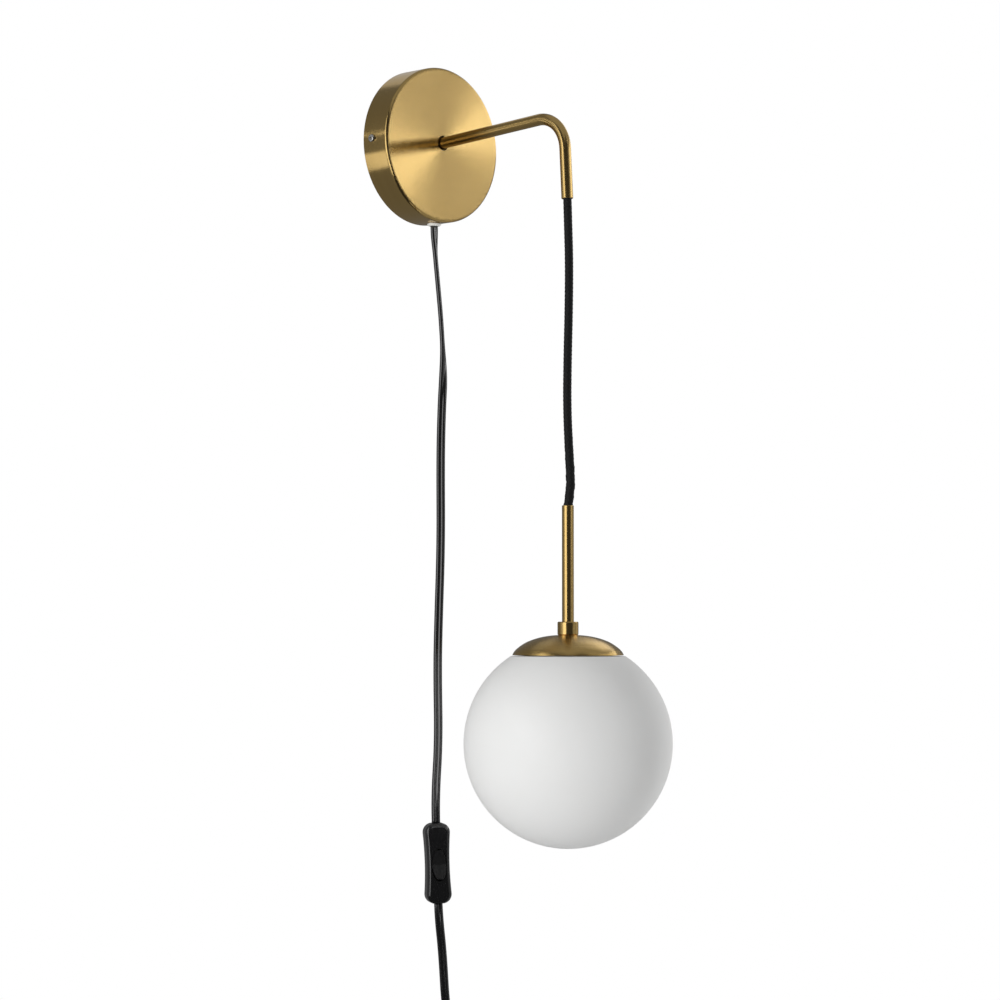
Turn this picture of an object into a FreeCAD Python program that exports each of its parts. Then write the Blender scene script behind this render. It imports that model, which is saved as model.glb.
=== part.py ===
import FreeCAD, Part
import math
import os
from FreeCAD import Matrix, Placement, Rotation, Vector

# Plug-in wall light with an opal globe: a spun brass canopy on the wall, a bent brass arm,
# a globe that hangs from the arm on a textile cord, and a flat black lead with a rocker switch.
# Origin: middle of the canopy on the wall. +Z is up, -Y points out of the wall, +X is to the
# right for someone who faces the wall. Millimetres.

os.makedirs("parts", exist_ok=True)

# Clearances and fits
running_gap = 0.05
free_gap = 0.3
screw_gap = 0.2
cord_end_gap = 0.05

# Canopy on the wall
canopy_dia = 116.2
canopy_depth = 25.0
canopy_wall = 1.2
canopy_edge_radius = 2.4
arm_hole_gap = 1.3
side_screw_out = 9.5
grommet_out = 15.5

# Wall plate inside the canopy
plate_dia = 100.0
plate_width = 88.0
plate_thickness = 2.0
plate_lug_width = 14.0
lug_gap = 0.8
wall_hole_spacing = 60.0
wall_hole_dia = 5.0

# Arm tube
tube_dia = 8.5
tube_wall = 0.95
arm_rise_deg = 3.2
arm_reach = 149.0
leg_length = 61.8
bend_radius = 25.0
mouth_edge_radius = 0.4

# Bridge that carries the arm inside the canopy
bridge_width = 16.0
bridge_thickness = 2.0
bridge_stand_off = 14.5
bridge_half_top = 18.0
bridge_half_foot = 24.0
bridge_foot_length = 10.0
arm_nut_flats = 12.0
arm_nut_height = 3.6
arm_tail = 1.2

# Textile cord that carries the globe
cord_dia = 6.1
cord_drop = 220.4
pivot_drop = 4.2
link_height = 1.5

# Rod, collar and dome above the globe
rod_shown = 83.0
collar_dia = 15.0
collar_height = 9.6
collar_edge = 0.6
nipple_dia = 10.0
nipple_bore = 6.8
nipple_in_collar = 5.0
dome_wall = 1.0
# Dome's outer line from its flat seat to its rim: (radius, height above the rim)
dome_line = [(8.5, 14.2), (16.0, 13.35), (24.0, 11.4), (30.5, 8.7), (35.2, 5.6), (38.4, 2.5), (39.75, 0.0)]
nipple_nut_flats = 14.0
dome_nut_height = 5.1
carrier_nut_height = 3.5

# Glass globe and the threaded carrier that holds it
globe_dia = 149.0
glass_wall = 2.6
globe_under_rim = 0.6
neck_dia = 54.0
neck_height = 6.6
shoulder_radius = 1.6
carrier_disc = 1.5
carrier_wall = 1.7
carrier_skirt = 8.0

# Lampholder and lamp
holder_dia = 28.5
holder_cap_height = 12.0
holder_wall = 1.6
holder_body_height = 30.5
holder_mouth_dia = 24.0
insert_height = 5.0
screw_shell_dia = 15.2
screw_shell_wall = 0.5
screw_shell_height = 21.0
lamp_cap_dia = 13.9
lamp_cap_height = 24.0
lamp_length = 76.0
lamp_ball_dia = 45.0
core_dia = 2.2
cord_stop_height = 4.0
cord_stop_dia = 9.6

# Flat lead: section, lean back towards the wall, and the two hanging stretches.
# Route points are (sideways, down) from the grommet's outer face.
flat_width = 6.5
flat_thickness = 3.6
lead_lean_deg = 0.35
grommet_flange_dia = 10.4
grommet_flange = 2.2
grommet_neck_dia = 8.6
upper_route = [
    (0.0, 0.0), (0.0, 13.0), (3.8, 41.0), (8.0, 72.0), (10.7, 108.0), (8.7, 138.0),
    (7.8, 176.0), (8.8, 238.0), (6.4, 300.0), (5.8, 335.0), (7.4, 386.0), (4.1, 428.0),
    (5.0, 446.4),
]
lower_route = [(12.7, 544.0), (16.2, 586.0), (24.4, 609.0), (36.8, 621.5)]
lower_first_run = 10.0

# Coil of the lead's spare length: two layers wound in and out again
coil_radius = 39.5
coil_pitch = 4.3
coil_layer_pitch = 7.2
coil_turns_per_layer = 2.3125
coil_climb_turns = 0.5
coil_start_deg = 45.0
coil_lead_in = 6.0
coil_tail = 30.0
tie_width = 8.0
tie_thickness = 1.0
tie_angle_deg = 150.0

# Rocker switch in the lead
switch_length = 60.0
switch_end_width = 19.2
switch_waist_width = 17.2
switch_thickness = 12.5
switch_edge_radius = 3.0
switch_corner_radius = 7.0
switch_yaw_deg = 28.5
switch_shell_wall = 2.0
rocker_from_top = 31.0
rocker_opening_length = 24.0
rocker_opening_width = 12.0
rocker_gap = 0.5
rocker_axle_dia = 3.0
rocker_axle_in_wall = 1.0
rocker_axle_depth = 3.3
rocker_throw_deg = 14.0
rocker_proud = 1.2
rocker_dish = 1.6

# Two-pin plug
plug_width = 35.3
plug_thickness = 13.7
plug_neck_width = 16.0
plug_corner_radius = 5.0
plug_edge_radius = 2.2
plug_length = 34.0
plug_face_length = 12.0
boot_length = 22.0
boot_tip_dia = 7.6
boot_base_dia = 10.6
pin_dia = 4.0
pin_length = 19.0
pin_in_body = 9.0
pin_root_dia = 5.4
pin_spacing = 18.6

X = Vector(1, 0, 0)
Y = Vector(0, 1, 0)
Z = Vector(0, 0, 1)
OUT = Vector(0, -1, 0)
DOWN = Vector(0, 0, -1)
ORIGIN = Vector(0, 0, 0)


def save(name, solids):
    """Write one node; several solids go out as one compound."""
    shape = solids if not isinstance(solids, list) else Part.makeCompound(solids)
    for solid in shape.Solids:
        if not solid.isValid() or solid.Volume <= 0:
            print("bad solid in", name)
    shape.exportStep("parts/" + name + ".step")
    return shape


def rod(radius, start, end):
    """A round bar between two points."""
    return Part.makeCylinder(radius, (end - start).Length, start, end - start)


def ring(outer_radius, inner_radius, start, end):
    """A round bar with a bore."""
    return rod(outer_radius, start, end).cut(rod(inner_radius, start, end))


def box(low, high):
    """A block between two corners."""
    size = high - low
    return Part.makeBox(size.x, size.y, size.z, low)


def hex_bar(flats, start, end):
    """A hexagon bar between two points."""
    corner = flats / math.sqrt(3)
    ring_points = [Vector(corner * math.cos(math.radians(60 * i)), corner * math.sin(math.radians(60 * i)), 0)
                   for i in range(7)]
    bar = Part.Face(Part.makePolygon(ring_points)).extrude(Vector(0, 0, (end - start).Length))
    bar.Placement = Placement(start, Rotation(Z, end - start))
    return bar


def turned(edges, foot=ORIGIN, direction=Z):
    """Turn a closed outline, drawn as x = radius and z = height, about an axis."""
    solid = Part.Face(Part.Wire(Part.sortEdges(edges)[0])).revolve(ORIGIN, Z, 360)
    solid = Part.makeSolid(solid) if solid.ShapeType == "Shell" else solid
    solid.Placement = Placement(foot, Rotation(Z, direction))
    return solid


def round_head(radius, height, edge, seat, direction):
    """A low round head of a screw or rivet, with its outer edge rounded."""
    head = rod(radius, seat, seat + direction * height)
    top = seat + direction * height
    rim = [e for e in head.Edges if len(e.Vertexes) == 1 and (e.CenterOfMass - top).Length < 0.01]
    return head.makeFillet(edge, rim)


def cross_slot(seat, direction, across, deep, size):
    """Cutter for a cross recess in the end of a screw's head."""
    first = across
    second = direction.cross(across)
    bars = []
    for along, aside in ((first, second), (second, first)):
        corner = seat - along * (size / 2) - aside * (size / 8)
        loop = Part.makePolygon([corner, corner + along * size, corner + along * size + aside * (size / 4),
                                 corner + aside * (size / 4), corner])
        bars.append(Part.Face(loop).extrude(direction * -deep))
    return bars


def arc(start, middle, end):
    """An arc through three (x, z) points."""
    return Part.Arc(*[Vector(x, 0, z) for x, z in (start, middle, end)]).toShape()


def line(start, end):
    """A straight edge between two (x, z) points."""
    return Part.LineSegment(Vector(start[0], 0, start[1]), Vector(end[0], 0, end[1])).toShape()


def rounded_path(points, radius=None):
    """Straight runs joined by tangent arcs; each arc is as large as its two runs allow."""
    edges = []
    radii = []
    start = points[0]
    for before, corner, after in zip(points, points[1:], points[2:]):
        to_corner = (corner - before).normalize()
        from_corner = (after - corner).normalize()
        half_turn = to_corner.getAngle(from_corner) / 2
        shorter = min((corner - before).Length, (after - corner).Length)
        size = radius if radius else 0.45 * shorter / math.tan(half_turn)
        cut_back = size * math.tan(half_turn)
        arc_start = corner - to_corner * cut_back
        arc_end = corner + from_corner * cut_back
        inward = (from_corner - to_corner).normalize()
        arc_middle = corner + inward * (size / math.cos(half_turn) - size)
        edges.append(Part.LineSegment(start, arc_start).toShape())
        edges.append(Part.Arc(arc_start, arc_middle, arc_end).toShape())
        start = arc_end
        radii.append(size)
    edges.append(Part.LineSegment(start, points[-1]).toShape())
    return Part.Wire(edges), radii


def swept(path, section, name, area):
    """Sweep a closed section along a path and compare the volume with area times length."""
    solid = path.makePipeShell([section], True, False)
    print(name, "length %.1f" % path.Length, "volume / (area x length) %.4f" % (solid.Volume / (area * path.Length)))
    return solid


def round_section(centre, direction, radius):
    """A circle square to a direction."""
    return Part.Wire(Part.makeCircle(radius, centre, direction))


def flat_section(centre, wide, thin):
    """The flat lead's outline: two straight sides and two round ends."""
    half_straight = (flat_width - flat_thickness) / 2
    r = flat_thickness / 2
    a = centre + wide * half_straight + thin * r
    b = centre - wide * half_straight + thin * r
    c = centre - wide * half_straight - thin * r
    d = centre + wide * half_straight - thin * r
    left = centre - wide * (half_straight + r)
    right = centre + wide * (half_straight + r)
    return Part.Wire([
        Part.LineSegment(a, b).toShape(), Part.Arc(b, left, c).toShape(),
        Part.LineSegment(c, d).toShape(), Part.Arc(d, right, a).toShape(),
    ])


flat_area = (flat_width - flat_thickness) * flat_thickness + math.pi * (flat_thickness / 2) ** 2


def wire_tube(points, radius, bend):
    """A thin insulated core along straight runs with equal bends."""
    path = rounded_path(points, bend)[0]
    section = round_section(points[0], points[1] - points[0], radius)
    return path.makePipeShell([section], True, False)


# Places that several pieces share
tilt = Rotation(X, -arm_rise_deg)
arm_out = tilt.multVec(OUT)
leg_down = tilt.multVec(DOWN)
tube_radius = tube_dia / 2
tube_bore = tube_radius - tube_wall
cord_radius = cord_dia / 2
canopy_radius = canopy_dia / 2
canopy_inner = canopy_radius - canopy_wall
corner = arm_out * arm_reach
mouth = corner + leg_down * leg_length
pivot = mouth + leg_down * pivot_drop

bridge_back = bridge_stand_off - bridge_thickness / 2
bridge_front = bridge_stand_off + bridge_thickness / 2
arm_start = bridge_back - arm_nut_height - arm_tail

rod_top = mouth.z - cord_drop
collar_top = rod_top - rod_shown
collar_bottom = collar_top - collar_height
nipple_top = collar_bottom + nipple_in_collar
dome_rim = collar_bottom - dome_line[0][1]
dome_under = collar_bottom - dome_wall
dome_nut_bottom = dome_under - dome_nut_height
carrier_bottom = dome_nut_bottom - carrier_disc
holder_top = carrier_bottom - carrier_nut_height
holder_split = holder_top - holder_cap_height
holder_mouth = holder_split - holder_body_height
nipple_bottom = holder_top - holder_wall - 2.4
dome_radius = dome_line[-1][0]
globe_radius = globe_dia / 2
shoulder_z = dome_rim - globe_under_rim
shoulder_out = dome_radius + 1.0
globe_centre = shoulder_z - math.sqrt(globe_radius ** 2 - shoulder_out ** 2)


def hang(z):
    """A point on the hanging globe's axis."""
    return Vector(pivot.x, pivot.y, z)


# Canopy cover: spun cup, open to the wall
def canopy_cover():
    inner_edge = canopy_edge_radius - canopy_wall
    front = canopy_depth
    outer_mid = canopy_edge_radius * (1 - math.sqrt(0.5))
    inner_mid = inner_edge * (1 - math.sqrt(0.5))
    edges = [
        line((0, front), (canopy_radius - canopy_edge_radius, front)),
        arc((canopy_radius - canopy_edge_radius, front), (canopy_radius - outer_mid, front - outer_mid),
            (canopy_radius, front - canopy_edge_radius)),
        line((canopy_radius, front - canopy_edge_radius), (canopy_radius, 0)),
        line((canopy_radius, 0), (canopy_inner, 0)),
        line((canopy_inner, 0), (canopy_inner, front - canopy_edge_radius)),
        arc((canopy_inner, front - canopy_edge_radius),
            (canopy_inner - inner_mid, front - canopy_wall - inner_mid),
            (canopy_inner - inner_edge, front - canopy_wall)),
        line((canopy_inner - inner_edge, front - canopy_wall), (0, front - canopy_wall)),
        line((0, front - canopy_wall), (0, front)),
    ]
    cup = turned(edges, ORIGIN, OUT)
    arm_hole = rod(tube_radius + arm_hole_gap, arm_out * (canopy_depth / 2), arm_out * (canopy_depth * 1.5))
    cup = cup.cut(arm_hole)
    for side in (-1, 1):
        start = Vector(side * canopy_inner * 0.8, -side_screw_out, 0)
        cup = cup.cut(rod(2.0 + screw_gap, start, start + X * side * canopy_radius))
    grommet_hole = rod(grommet_neck_dia / 2, Vector(0, -grommet_out, -canopy_inner * 0.8),
                       Vector(0, -grommet_out, -canopy_radius * 1.1))
    return cup.cut(grommet_hole)


# Wall plate: pressed steel disc with two lugs bent forward for the cover's side screws
def wall_plate():
    half = plate_width / 2
    lug_face = math.sqrt((canopy_inner - lug_gap) ** 2 - (plate_lug_width / 2) ** 2)
    disc = rod(plate_dia / 2, ORIGIN, OUT * plate_thickness)
    disc = disc.common(box(Vector(-half, -plate_thickness, -plate_dia), Vector(half, 0, plate_dia)))
    plate = disc
    for side in (-1, 1):
        profile = Part.makePolygon([
            Vector(side * (half - 4), 0, 0), Vector(side * lug_face, 0, 0),
            Vector(side * lug_face, -side_screw_out - 5, 0),
            Vector(side * (lug_face - plate_thickness), -side_screw_out - 5, 0),
            Vector(side * (lug_face - plate_thickness), -plate_thickness, 0),
            Vector(side * (half - 4), -plate_thickness, 0), Vector(side * (half - 4), 0, 0)])
        lug = Part.Face(profile).extrude(Z * plate_lug_width)
        lug.translate(Z * (-plate_lug_width / 2))
        bend = [e for e in lug.Edges if abs(abs(e.BoundBox.XMin) - lug_face) < 0.01
                and e.BoundBox.YMin > -0.01 and e.BoundBox.ZLength > 1]
        plate = plate.fuse(lug.makeFillet(plate_thickness * 0.9, bend))
    plate = plate.removeSplitter()
    for side in (-1, 1):
        hole_at = Vector(side * wall_hole_spacing / 2, 1, 0)
        plate = plate.cut(rod(wall_hole_dia / 2, hole_at, hole_at + OUT * (plate_thickness + 2)))
        screw_at = Vector(side * (lug_face - 4), -side_screw_out, 0)
        plate = plate.cut(rod(2.0 + running_gap, screw_at, screw_at + X * side * 8))
        rivet_at = Vector(0, 1, side * (bridge_half_foot + bridge_foot_length / 2))
        plate = plate.cut(rod(1.6, rivet_at, rivet_at + OUT * (plate_thickness + 2)))
        anchor_at = Vector(side * 7.5, 1, -45)
        plate = plate.cut(rod(1.5, anchor_at, anchor_at + OUT * (plate_thickness + 2)))
    return plate


# Side screws: two round heads on the canopy's rim
def side_screws():
    screws = []
    for side in (-1, 1):
        seat = Vector(side * canopy_radius, -side_screw_out, 0)
        out = X * side
        shank = rod(2.0, seat, seat - out * 5.5)
        head = round_head(2.9, 2.0, 1.1, seat, out)
        slots = cross_slot(seat + out * 2.0, out, Y, 0.9, 2.6)
        screws.append(shank.fuse(head).removeSplitter().cut(slots))
    return screws


# Strip of sheet steel bent along (out, up) points, with a given thickness and width
def bent_strip(points, thickness, width):
    normals = []
    for (y0, z0), (y1, z1) in zip(points, points[1:]):
        length = math.hypot(y1 - y0, z1 - z0)
        normals.append((-(z1 - z0) / length, (y1 - y0) / length))
    sides = []
    for sign in (1, -1):
        side_points = []
        for i, (y, z) in enumerate(points):
            before = normals[max(i - 1, 0)]
            after = normals[min(i, len(normals) - 1)]
            mx, mz = before[0] + after[0], before[1] + after[1]
            scale = sign * thickness / (mx * mx + mz * mz)
            side_points.append(Vector(-width / 2, y + mx * scale, z + mz * scale))
        sides.append(side_points)
    loop = sides[0] + sides[1][::-1]
    return Part.Face(Part.makePolygon(loop + loop[:1])).extrude(X * width)


# Bridge: hat-shaped strip; its top is square to the arm, which gives the arm its rise
def arm_bridge():
    up_arm = tilt.multVec(Z)
    top_high = arm_out * bridge_stand_off + up_arm * bridge_half_top
    top_low = arm_out * bridge_stand_off - up_arm * bridge_half_top
    foot_y = -plate_thickness - bridge_thickness / 2
    strip = bent_strip([
        (foot_y, -bridge_half_foot - bridge_foot_length), (foot_y, -bridge_half_foot),
        (top_low.y, top_low.z), (top_high.y, top_high.z),
        (foot_y, bridge_half_foot), (foot_y, bridge_half_foot + bridge_foot_length),
    ], bridge_thickness, bridge_width)
    strip = strip.cut(rod(tube_radius + running_gap, arm_out * (bridge_back - 2), arm_out * (bridge_front + 2)))
    for side in (-1, 1):
        at = Vector(0, 0, side * (bridge_half_foot + bridge_foot_length / 2))
        strip = strip.cut(rod(1.6, at, at + OUT * (plate_thickness + bridge_thickness + 1)))
    return strip


def bridge_rivets():
    rivets = []
    for side in (-1, 1):
        at = Vector(0, 0, side * (bridge_half_foot + bridge_foot_length / 2))
        top = at + OUT * (plate_thickness + bridge_thickness)
        rivets.append(rod(1.6, at, top).fuse(round_head(3.0, 1.5, 0.9, top, OUT)).removeSplitter())
    return rivets


# Arm: tube with one bend and a softly rounded mouth
def arm_path(start_along, end_along):
    """Middle line of the arm from a distance along it to a distance down its leg."""
    return rounded_path([arm_out * start_along, corner, corner + leg_down * end_along], bend_radius)[0]


def arm_tube():
    path = arm_path(arm_start, leg_length)
    outer = path.makePipeShell([round_section(arm_out * arm_start, arm_out, tube_radius)], True, False)
    inner = path.makePipeShell([round_section(arm_out * arm_start, arm_out, tube_bore)], True, False)
    tube = outer.cut(inner)
    rim = [e for e in tube.Edges if (e.CenterOfMass - mouth).Length < 0.01 and e.BoundBox.XLength > tube_bore * 2 + 0.1]
    return tube.makeFillet(mouth_edge_radius, rim)


def arm_nuts():
    back = hex_bar(arm_nut_flats, arm_out * (bridge_back - arm_nut_height), arm_out * bridge_back)
    front = hex_bar(arm_nut_flats, arm_out * (bridge_front + 1.0), arm_out * (bridge_front + 1.0 + arm_nut_height))
    bore = rod(tube_radius + running_gap, ORIGIN, arm_out * canopy_depth)
    return [back.cut(bore), front.cut(bore)]


def arm_washer():
    return ring(7.0, tube_radius + running_gap, arm_out * bridge_front, arm_out * (bridge_front + 1.0))


# Textile cord inside the arm; it ends in a hollow round which the hanging cord bends
def arm_cable():
    path = arm_path(arm_start - 1.0, leg_length + pivot_drop)
    cable = path.makePipeShell([round_section(arm_out * (arm_start - 1.0), arm_out, cord_radius)], True, False)
    link_top = cord_radius + free_gap + link_height
    return cable.cut(Part.makeSphere(link_top + free_gap, pivot))


# Short length of the hanging cord that takes up the bend at the arm's mouth
def cord_bend():
    inside = cord_radius + free_gap
    top = rod(cord_radius, pivot, pivot + Z * (inside + link_height) * 1.5)
    top = top.common(Part.makeSphere(inside + link_height, pivot))
    return top.cut(Part.makeSphere(inside, pivot))


def pendant_cord():
    return rod(cord_radius, hang(rod_top), hang(pivot.z)).fuse(Part.makeSphere(cord_radius, pivot)).removeSplitter()


# Rod, collar, nipple and dome
def drop_rod():
    solid = ring(tube_radius, tube_bore, hang(nipple_top), hang(rod_top))
    rim = [e for e in solid.Edges if abs(e.BoundBox.ZMin - rod_top) < 0.01 and e.BoundBox.XLength > tube_bore * 2 + 0.1]
    return solid.makeFillet(tube_wall * 0.4, rim)


def rod_cable():
    return rod(cord_radius, hang(nipple_bottom - cord_stop_height - 0.3), hang(rod_top))


def rod_collar():
    r = collar_dia / 2
    e = collar_edge
    solid = turned([
        line((0, collar_bottom), (r - e, collar_bottom)), line((r - e, collar_bottom), (r, collar_bottom + e)),
        line((r, collar_bottom + e), (r, collar_top - e)), line((r, collar_top - e), (r - e, collar_top)),
        line((r - e, collar_top), (0, collar_top)), line((0, collar_top), (0, collar_bottom)),
    ])
    solid.translate(hang(0))
    solid = solid.cut(rod(tube_radius + running_gap, hang(nipple_top), hang(collar_top + 1)))
    return solid.cut(rod(nipple_dia / 2 + running_gap, hang(collar_bottom - 1), hang(nipple_top)))


def holder_nipple():
    return ring(nipple_dia / 2, nipple_bore / 2, hang(nipple_bottom), hang(nipple_top))


def dome_cap():
    outer = Part.BSplineCurve()
    outer.interpolate([Vector(r, 0, dome_rim + h) for r, h in dome_line])
    # The inner line lies one wall inside the outer one, and ends in the rim's plane
    inner_points = [Vector(dome_line[0][0], 0, dome_under)]
    for r, h in dome_line[1:]:
        at = Vector(r, 0, dome_rim + h)
        along = outer.tangent(outer.parameter(at))[0]
        inward = Vector(along.z, 0, -along.x)
        inner_points.append(at + inward * dome_wall)
    last = inner_points[-1]
    inner_points[-1] = last + along * ((dome_rim - last.z) / along.z)
    inner = Part.BSplineCurve()
    inner.interpolate(inner_points)
    seat = dome_line[0][0]
    edges = [
        line((0, collar_bottom), (seat, collar_bottom)), outer.toShape(),
        line((dome_radius, dome_rim), (inner_points[-1].x, dome_rim)), inner.toShape(),
        line((seat, dome_under), (0, dome_under)), line((0, dome_under), (0, collar_bottom)),
    ]
    solid = turned(edges)
    solid.translate(hang(0))
    return solid.cut(rod(nipple_dia / 2 + running_gap, hang(dome_rim), hang(collar_top)))


def nipple_nuts():
    bore = rod(nipple_dia / 2 + running_gap, hang(holder_top - 1), hang(collar_top))
    upper = hex_bar(nipple_nut_flats, hang(dome_nut_bottom), hang(dome_under)).cut(bore)
    lower = hex_bar(nipple_nut_flats, hang(holder_top), hang(carrier_bottom)).cut(bore)
    return [upper, lower]


# Glass globe with a flat shoulder and a short threaded neck
neck_inner = neck_dia / 2 - glass_wall - 0.2
carrier_radius = neck_inner - free_gap


def glass_globe():
    ro = globe_radius
    ri = ro - glass_wall
    r = shoulder_radius
    neck = neck_dia / 2
    neck_top = shoulder_z + neck_height
    under = shoulder_z - glass_wall
    # The outer corner between sphere and shoulder is rounded by an arc tangent to both
    round_z = shoulder_z - r
    round_x = math.sqrt((ro - r) ** 2 - (round_z - globe_centre) ** 2)
    touch = Vector(round_x, 0, round_z - globe_centre).normalize()
    touch_x, touch_z = touch.x * ro, globe_centre + touch.z * ro
    middle = Vector(touch.x, 0, touch.z + 1).normalize()
    mid_x, mid_z = round_x + middle.x * r, round_z + middle.z * r
    inner_x = math.sqrt(ri ** 2 - (under - globe_centre) ** 2)
    side = Vector(1, 0, -0.2).normalize()
    edges = [
        line((neck_inner, neck_top), (neck, neck_top)), line((neck, neck_top), (neck, shoulder_z)),
        line((neck, shoulder_z), (round_x, shoulder_z)),
        arc((round_x, shoulder_z), (mid_x, mid_z), (touch_x, touch_z)),
        arc((touch_x, touch_z), (side.x * ro, globe_centre + side.z * ro), (0, globe_centre - ro)),
        line((0, globe_centre - ro), (0, globe_centre - ri)),
        arc((0, globe_centre - ri), (side.x * ri, globe_centre + side.z * ri), (inner_x, under)),
        line((inner_x, under), (neck_inner, under)), line((neck_inner, under), (neck_inner, neck_top)),
    ]
    solid = turned(edges)
    solid.translate(hang(0))
    return solid


def glass_carrier():
    bottom = carrier_bottom - carrier_skirt
    cup = rod(carrier_radius, hang(bottom), hang(dome_nut_bottom))
    cup = cup.cut(rod(carrier_radius - carrier_wall, hang(bottom), hang(carrier_bottom)))
    cup = cup.cut(rod(nipple_dia / 2 + running_gap, hang(bottom), hang(dome_under)))
    for i in range(6):
        turn = math.radians(60 * i + 30)
        at = Vector(pivot.x + 14.5 * math.cos(turn), pivot.y + 14.5 * math.sin(turn), 0)
        cup = cup.cut(rod(2.6, at + Z * (carrier_bottom - 1), at + Z * (dome_nut_bottom + 1)))
    return cup


# Lampholder: cap, body, insert, screw shell and contacts
def holder_cap():
    r = holder_dia / 2
    w = holder_wall
    solid = turned([
        line((0, holder_top), (r - 4, holder_top)),
        arc((r - 4, holder_top), (r - 4 + 4 * math.sin(math.pi / 4), holder_top - 4 + 4 * math.cos(math.pi / 4)),
            (r, holder_top - 4)),
        line((r, holder_top - 4), (r, holder_split)), line((r, holder_split), (r - w, holder_split)),
        line((r - w, holder_split), (r - w, holder_top - w - 3)),
        line((r - w, holder_top - w - 3), (r - w - 3, holder_top - w)),
        line((r - w - 3, holder_top - w), (0, holder_top - w)), line((0, holder_top - w), (0, holder_top)),
    ])
    solid.translate(hang(0))
    return solid.cut(rod(nipple_dia / 2 + running_gap, hang(holder_split), hang(holder_top + 1)))


def holder_body():
    r = holder_dia / 2
    w = holder_wall
    mouth_r = holder_mouth_dia / 2
    inner = mouth_r - w
    step = holder_split - insert_height
    solid = turned([
        line((r - w, holder_split), (r, holder_split)), line((r, holder_split), (r, step - 4)),
        line((r, step - 4), (mouth_r, step - 7)), line((mouth_r, step - 7), (mouth_r, holder_mouth)),
        line((mouth_r, holder_mouth), (inner, holder_mouth)), line((inner, holder_mouth), (inner, step)),
        line((inner, step), (r - w, step)), line((r - w, step), (r - w, holder_split)),
    ])
    solid.translate(hang(0))
    return solid


def holder_insert():
    top = holder_split - 0.4
    bottom = holder_split - insert_height
    solid = rod(holder_dia / 2 - holder_wall - 0.1, hang(bottom), hang(top))
    for side in (-1, 1):
        at = Vector(pivot.x + side * 5.5, pivot.y, 0)
        solid = solid.cut(rod(core_dia / 2 + 0.2, at + Z * (top - 3), at + Z * (top + 1)))
    return solid


def screw_shell():
    top = holder_split - insert_height
    r = screw_shell_dia / 2
    return rod(r, hang(top - screw_shell_height), hang(top)).cut(
        rod(r - screw_shell_wall, hang(top - screw_shell_height), hang(top - screw_shell_wall)))


lamp_top = holder_split - insert_height - screw_shell_wall - 1.6


def centre_contact():
    spring_top = holder_split - insert_height - screw_shell_wall
    return rod(2.2, hang(lamp_top), hang(spring_top))


def lamp_cap():
    r = lamp_cap_dia / 2
    solid = turned([
        line((0, lamp_top), (2.4, lamp_top)), line((2.4, lamp_top), (r - 1.5, lamp_top - 2.2)),
        line((r - 1.5, lamp_top - 2.2), (r, lamp_top - 3.2)),
        line((r, lamp_top - 3.2), (r, lamp_top - lamp_cap_height)),
        line((r, lamp_top - lamp_cap_height), (0, lamp_top - lamp_cap_height)),
        line((0, lamp_top - lamp_cap_height), (0, lamp_top)),
    ])
    solid.translate(hang(0))
    return solid


def lamp_bulb():
    top = lamp_top - lamp_cap_height
    ball = lamp_ball_dia / 2
    centre = lamp_top - lamp_length + ball
    collar = lamp_cap_dia / 2 + 0.6
    # Tapered base runs into the ball where both are equally wide
    join = ball * math.sin(math.radians(50))
    join_z = centre + ball * math.cos(math.radians(50))
    solid = turned([
        line((0, top), (collar, top)), line((collar, top), (collar, top - 3)),
        line((collar, top - 3), (join, join_z)),
        arc((join, join_z), (ball * math.cos(math.radians(20)), centre - ball * math.sin(math.radians(20))),
            (0, centre - ball)),
        line((0, centre - ball), (0, top)),
    ])
    solid.translate(hang(0))
    return solid


def cord_stop():
    return ring(cord_stop_dia / 2, cord_radius + running_gap, hang(nipple_bottom - cord_stop_height),
                hang(nipple_bottom))


def holder_cores():
    start = nipple_bottom - cord_stop_height - 0.3
    end = holder_split - 2.4
    cores = []
    for side in (-1, 1):
        points = [Vector(pivot.x + side * 1.35, pivot.y, start), Vector(pivot.x + side * 1.35, pivot.y, start - 1.2),
                  Vector(pivot.x + side * 5.5, pivot.y, start - 2.2), Vector(pivot.x + side * 5.5, pivot.y, end)]
        cores.append(wire_tube(points, core_dia / 2, 1.3))
    return cores


# Inside the canopy: grommet, cord anchor, connectors and cores
def cord_grommet():
    at = Vector(0, -grommet_out, -canopy_radius)
    flange = turned([
        line((0, 0), (grommet_neck_dia / 2, 0)), line((grommet_neck_dia / 2, 0), (grommet_flange_dia / 2, 0.5)),
        arc((grommet_flange_dia / 2, 0.5), (grommet_flange_dia / 2 - 0.35, 1.6),
            (grommet_flange_dia / 2 - 1.6, grommet_flange)),
        line((grommet_flange_dia / 2 - 1.6, grommet_flange), (0, grommet_flange)),
        line((0, grommet_flange), (0, 0)),
    ], at, DOWN)
    neck = rod(grommet_neck_dia / 2 - running_gap, at, at + Z * (canopy_wall + 0.8))
    clip = rod(grommet_neck_dia / 2 + 0.8, at + Z * (canopy_wall + 0.4), at + Z * (canopy_wall + 1.8))
    solid = flange.fuse(neck).fuse(clip).removeSplitter()
    passage = Part.Face(flat_section(at - Z * 5, X, Y)).extrude(Z * 12)
    return solid.cut(passage)


lead_top = -38.0
anchor_low = -49.0
anchor_high = -41.0
anchor_half = 11.0
lead_exit = -canopy_radius - grommet_flange


def supply_lead():
    return Part.Face(flat_section(Vector(0, -grommet_out, lead_exit), X, Y)).extrude(Z * (lead_top - lead_exit))


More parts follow.
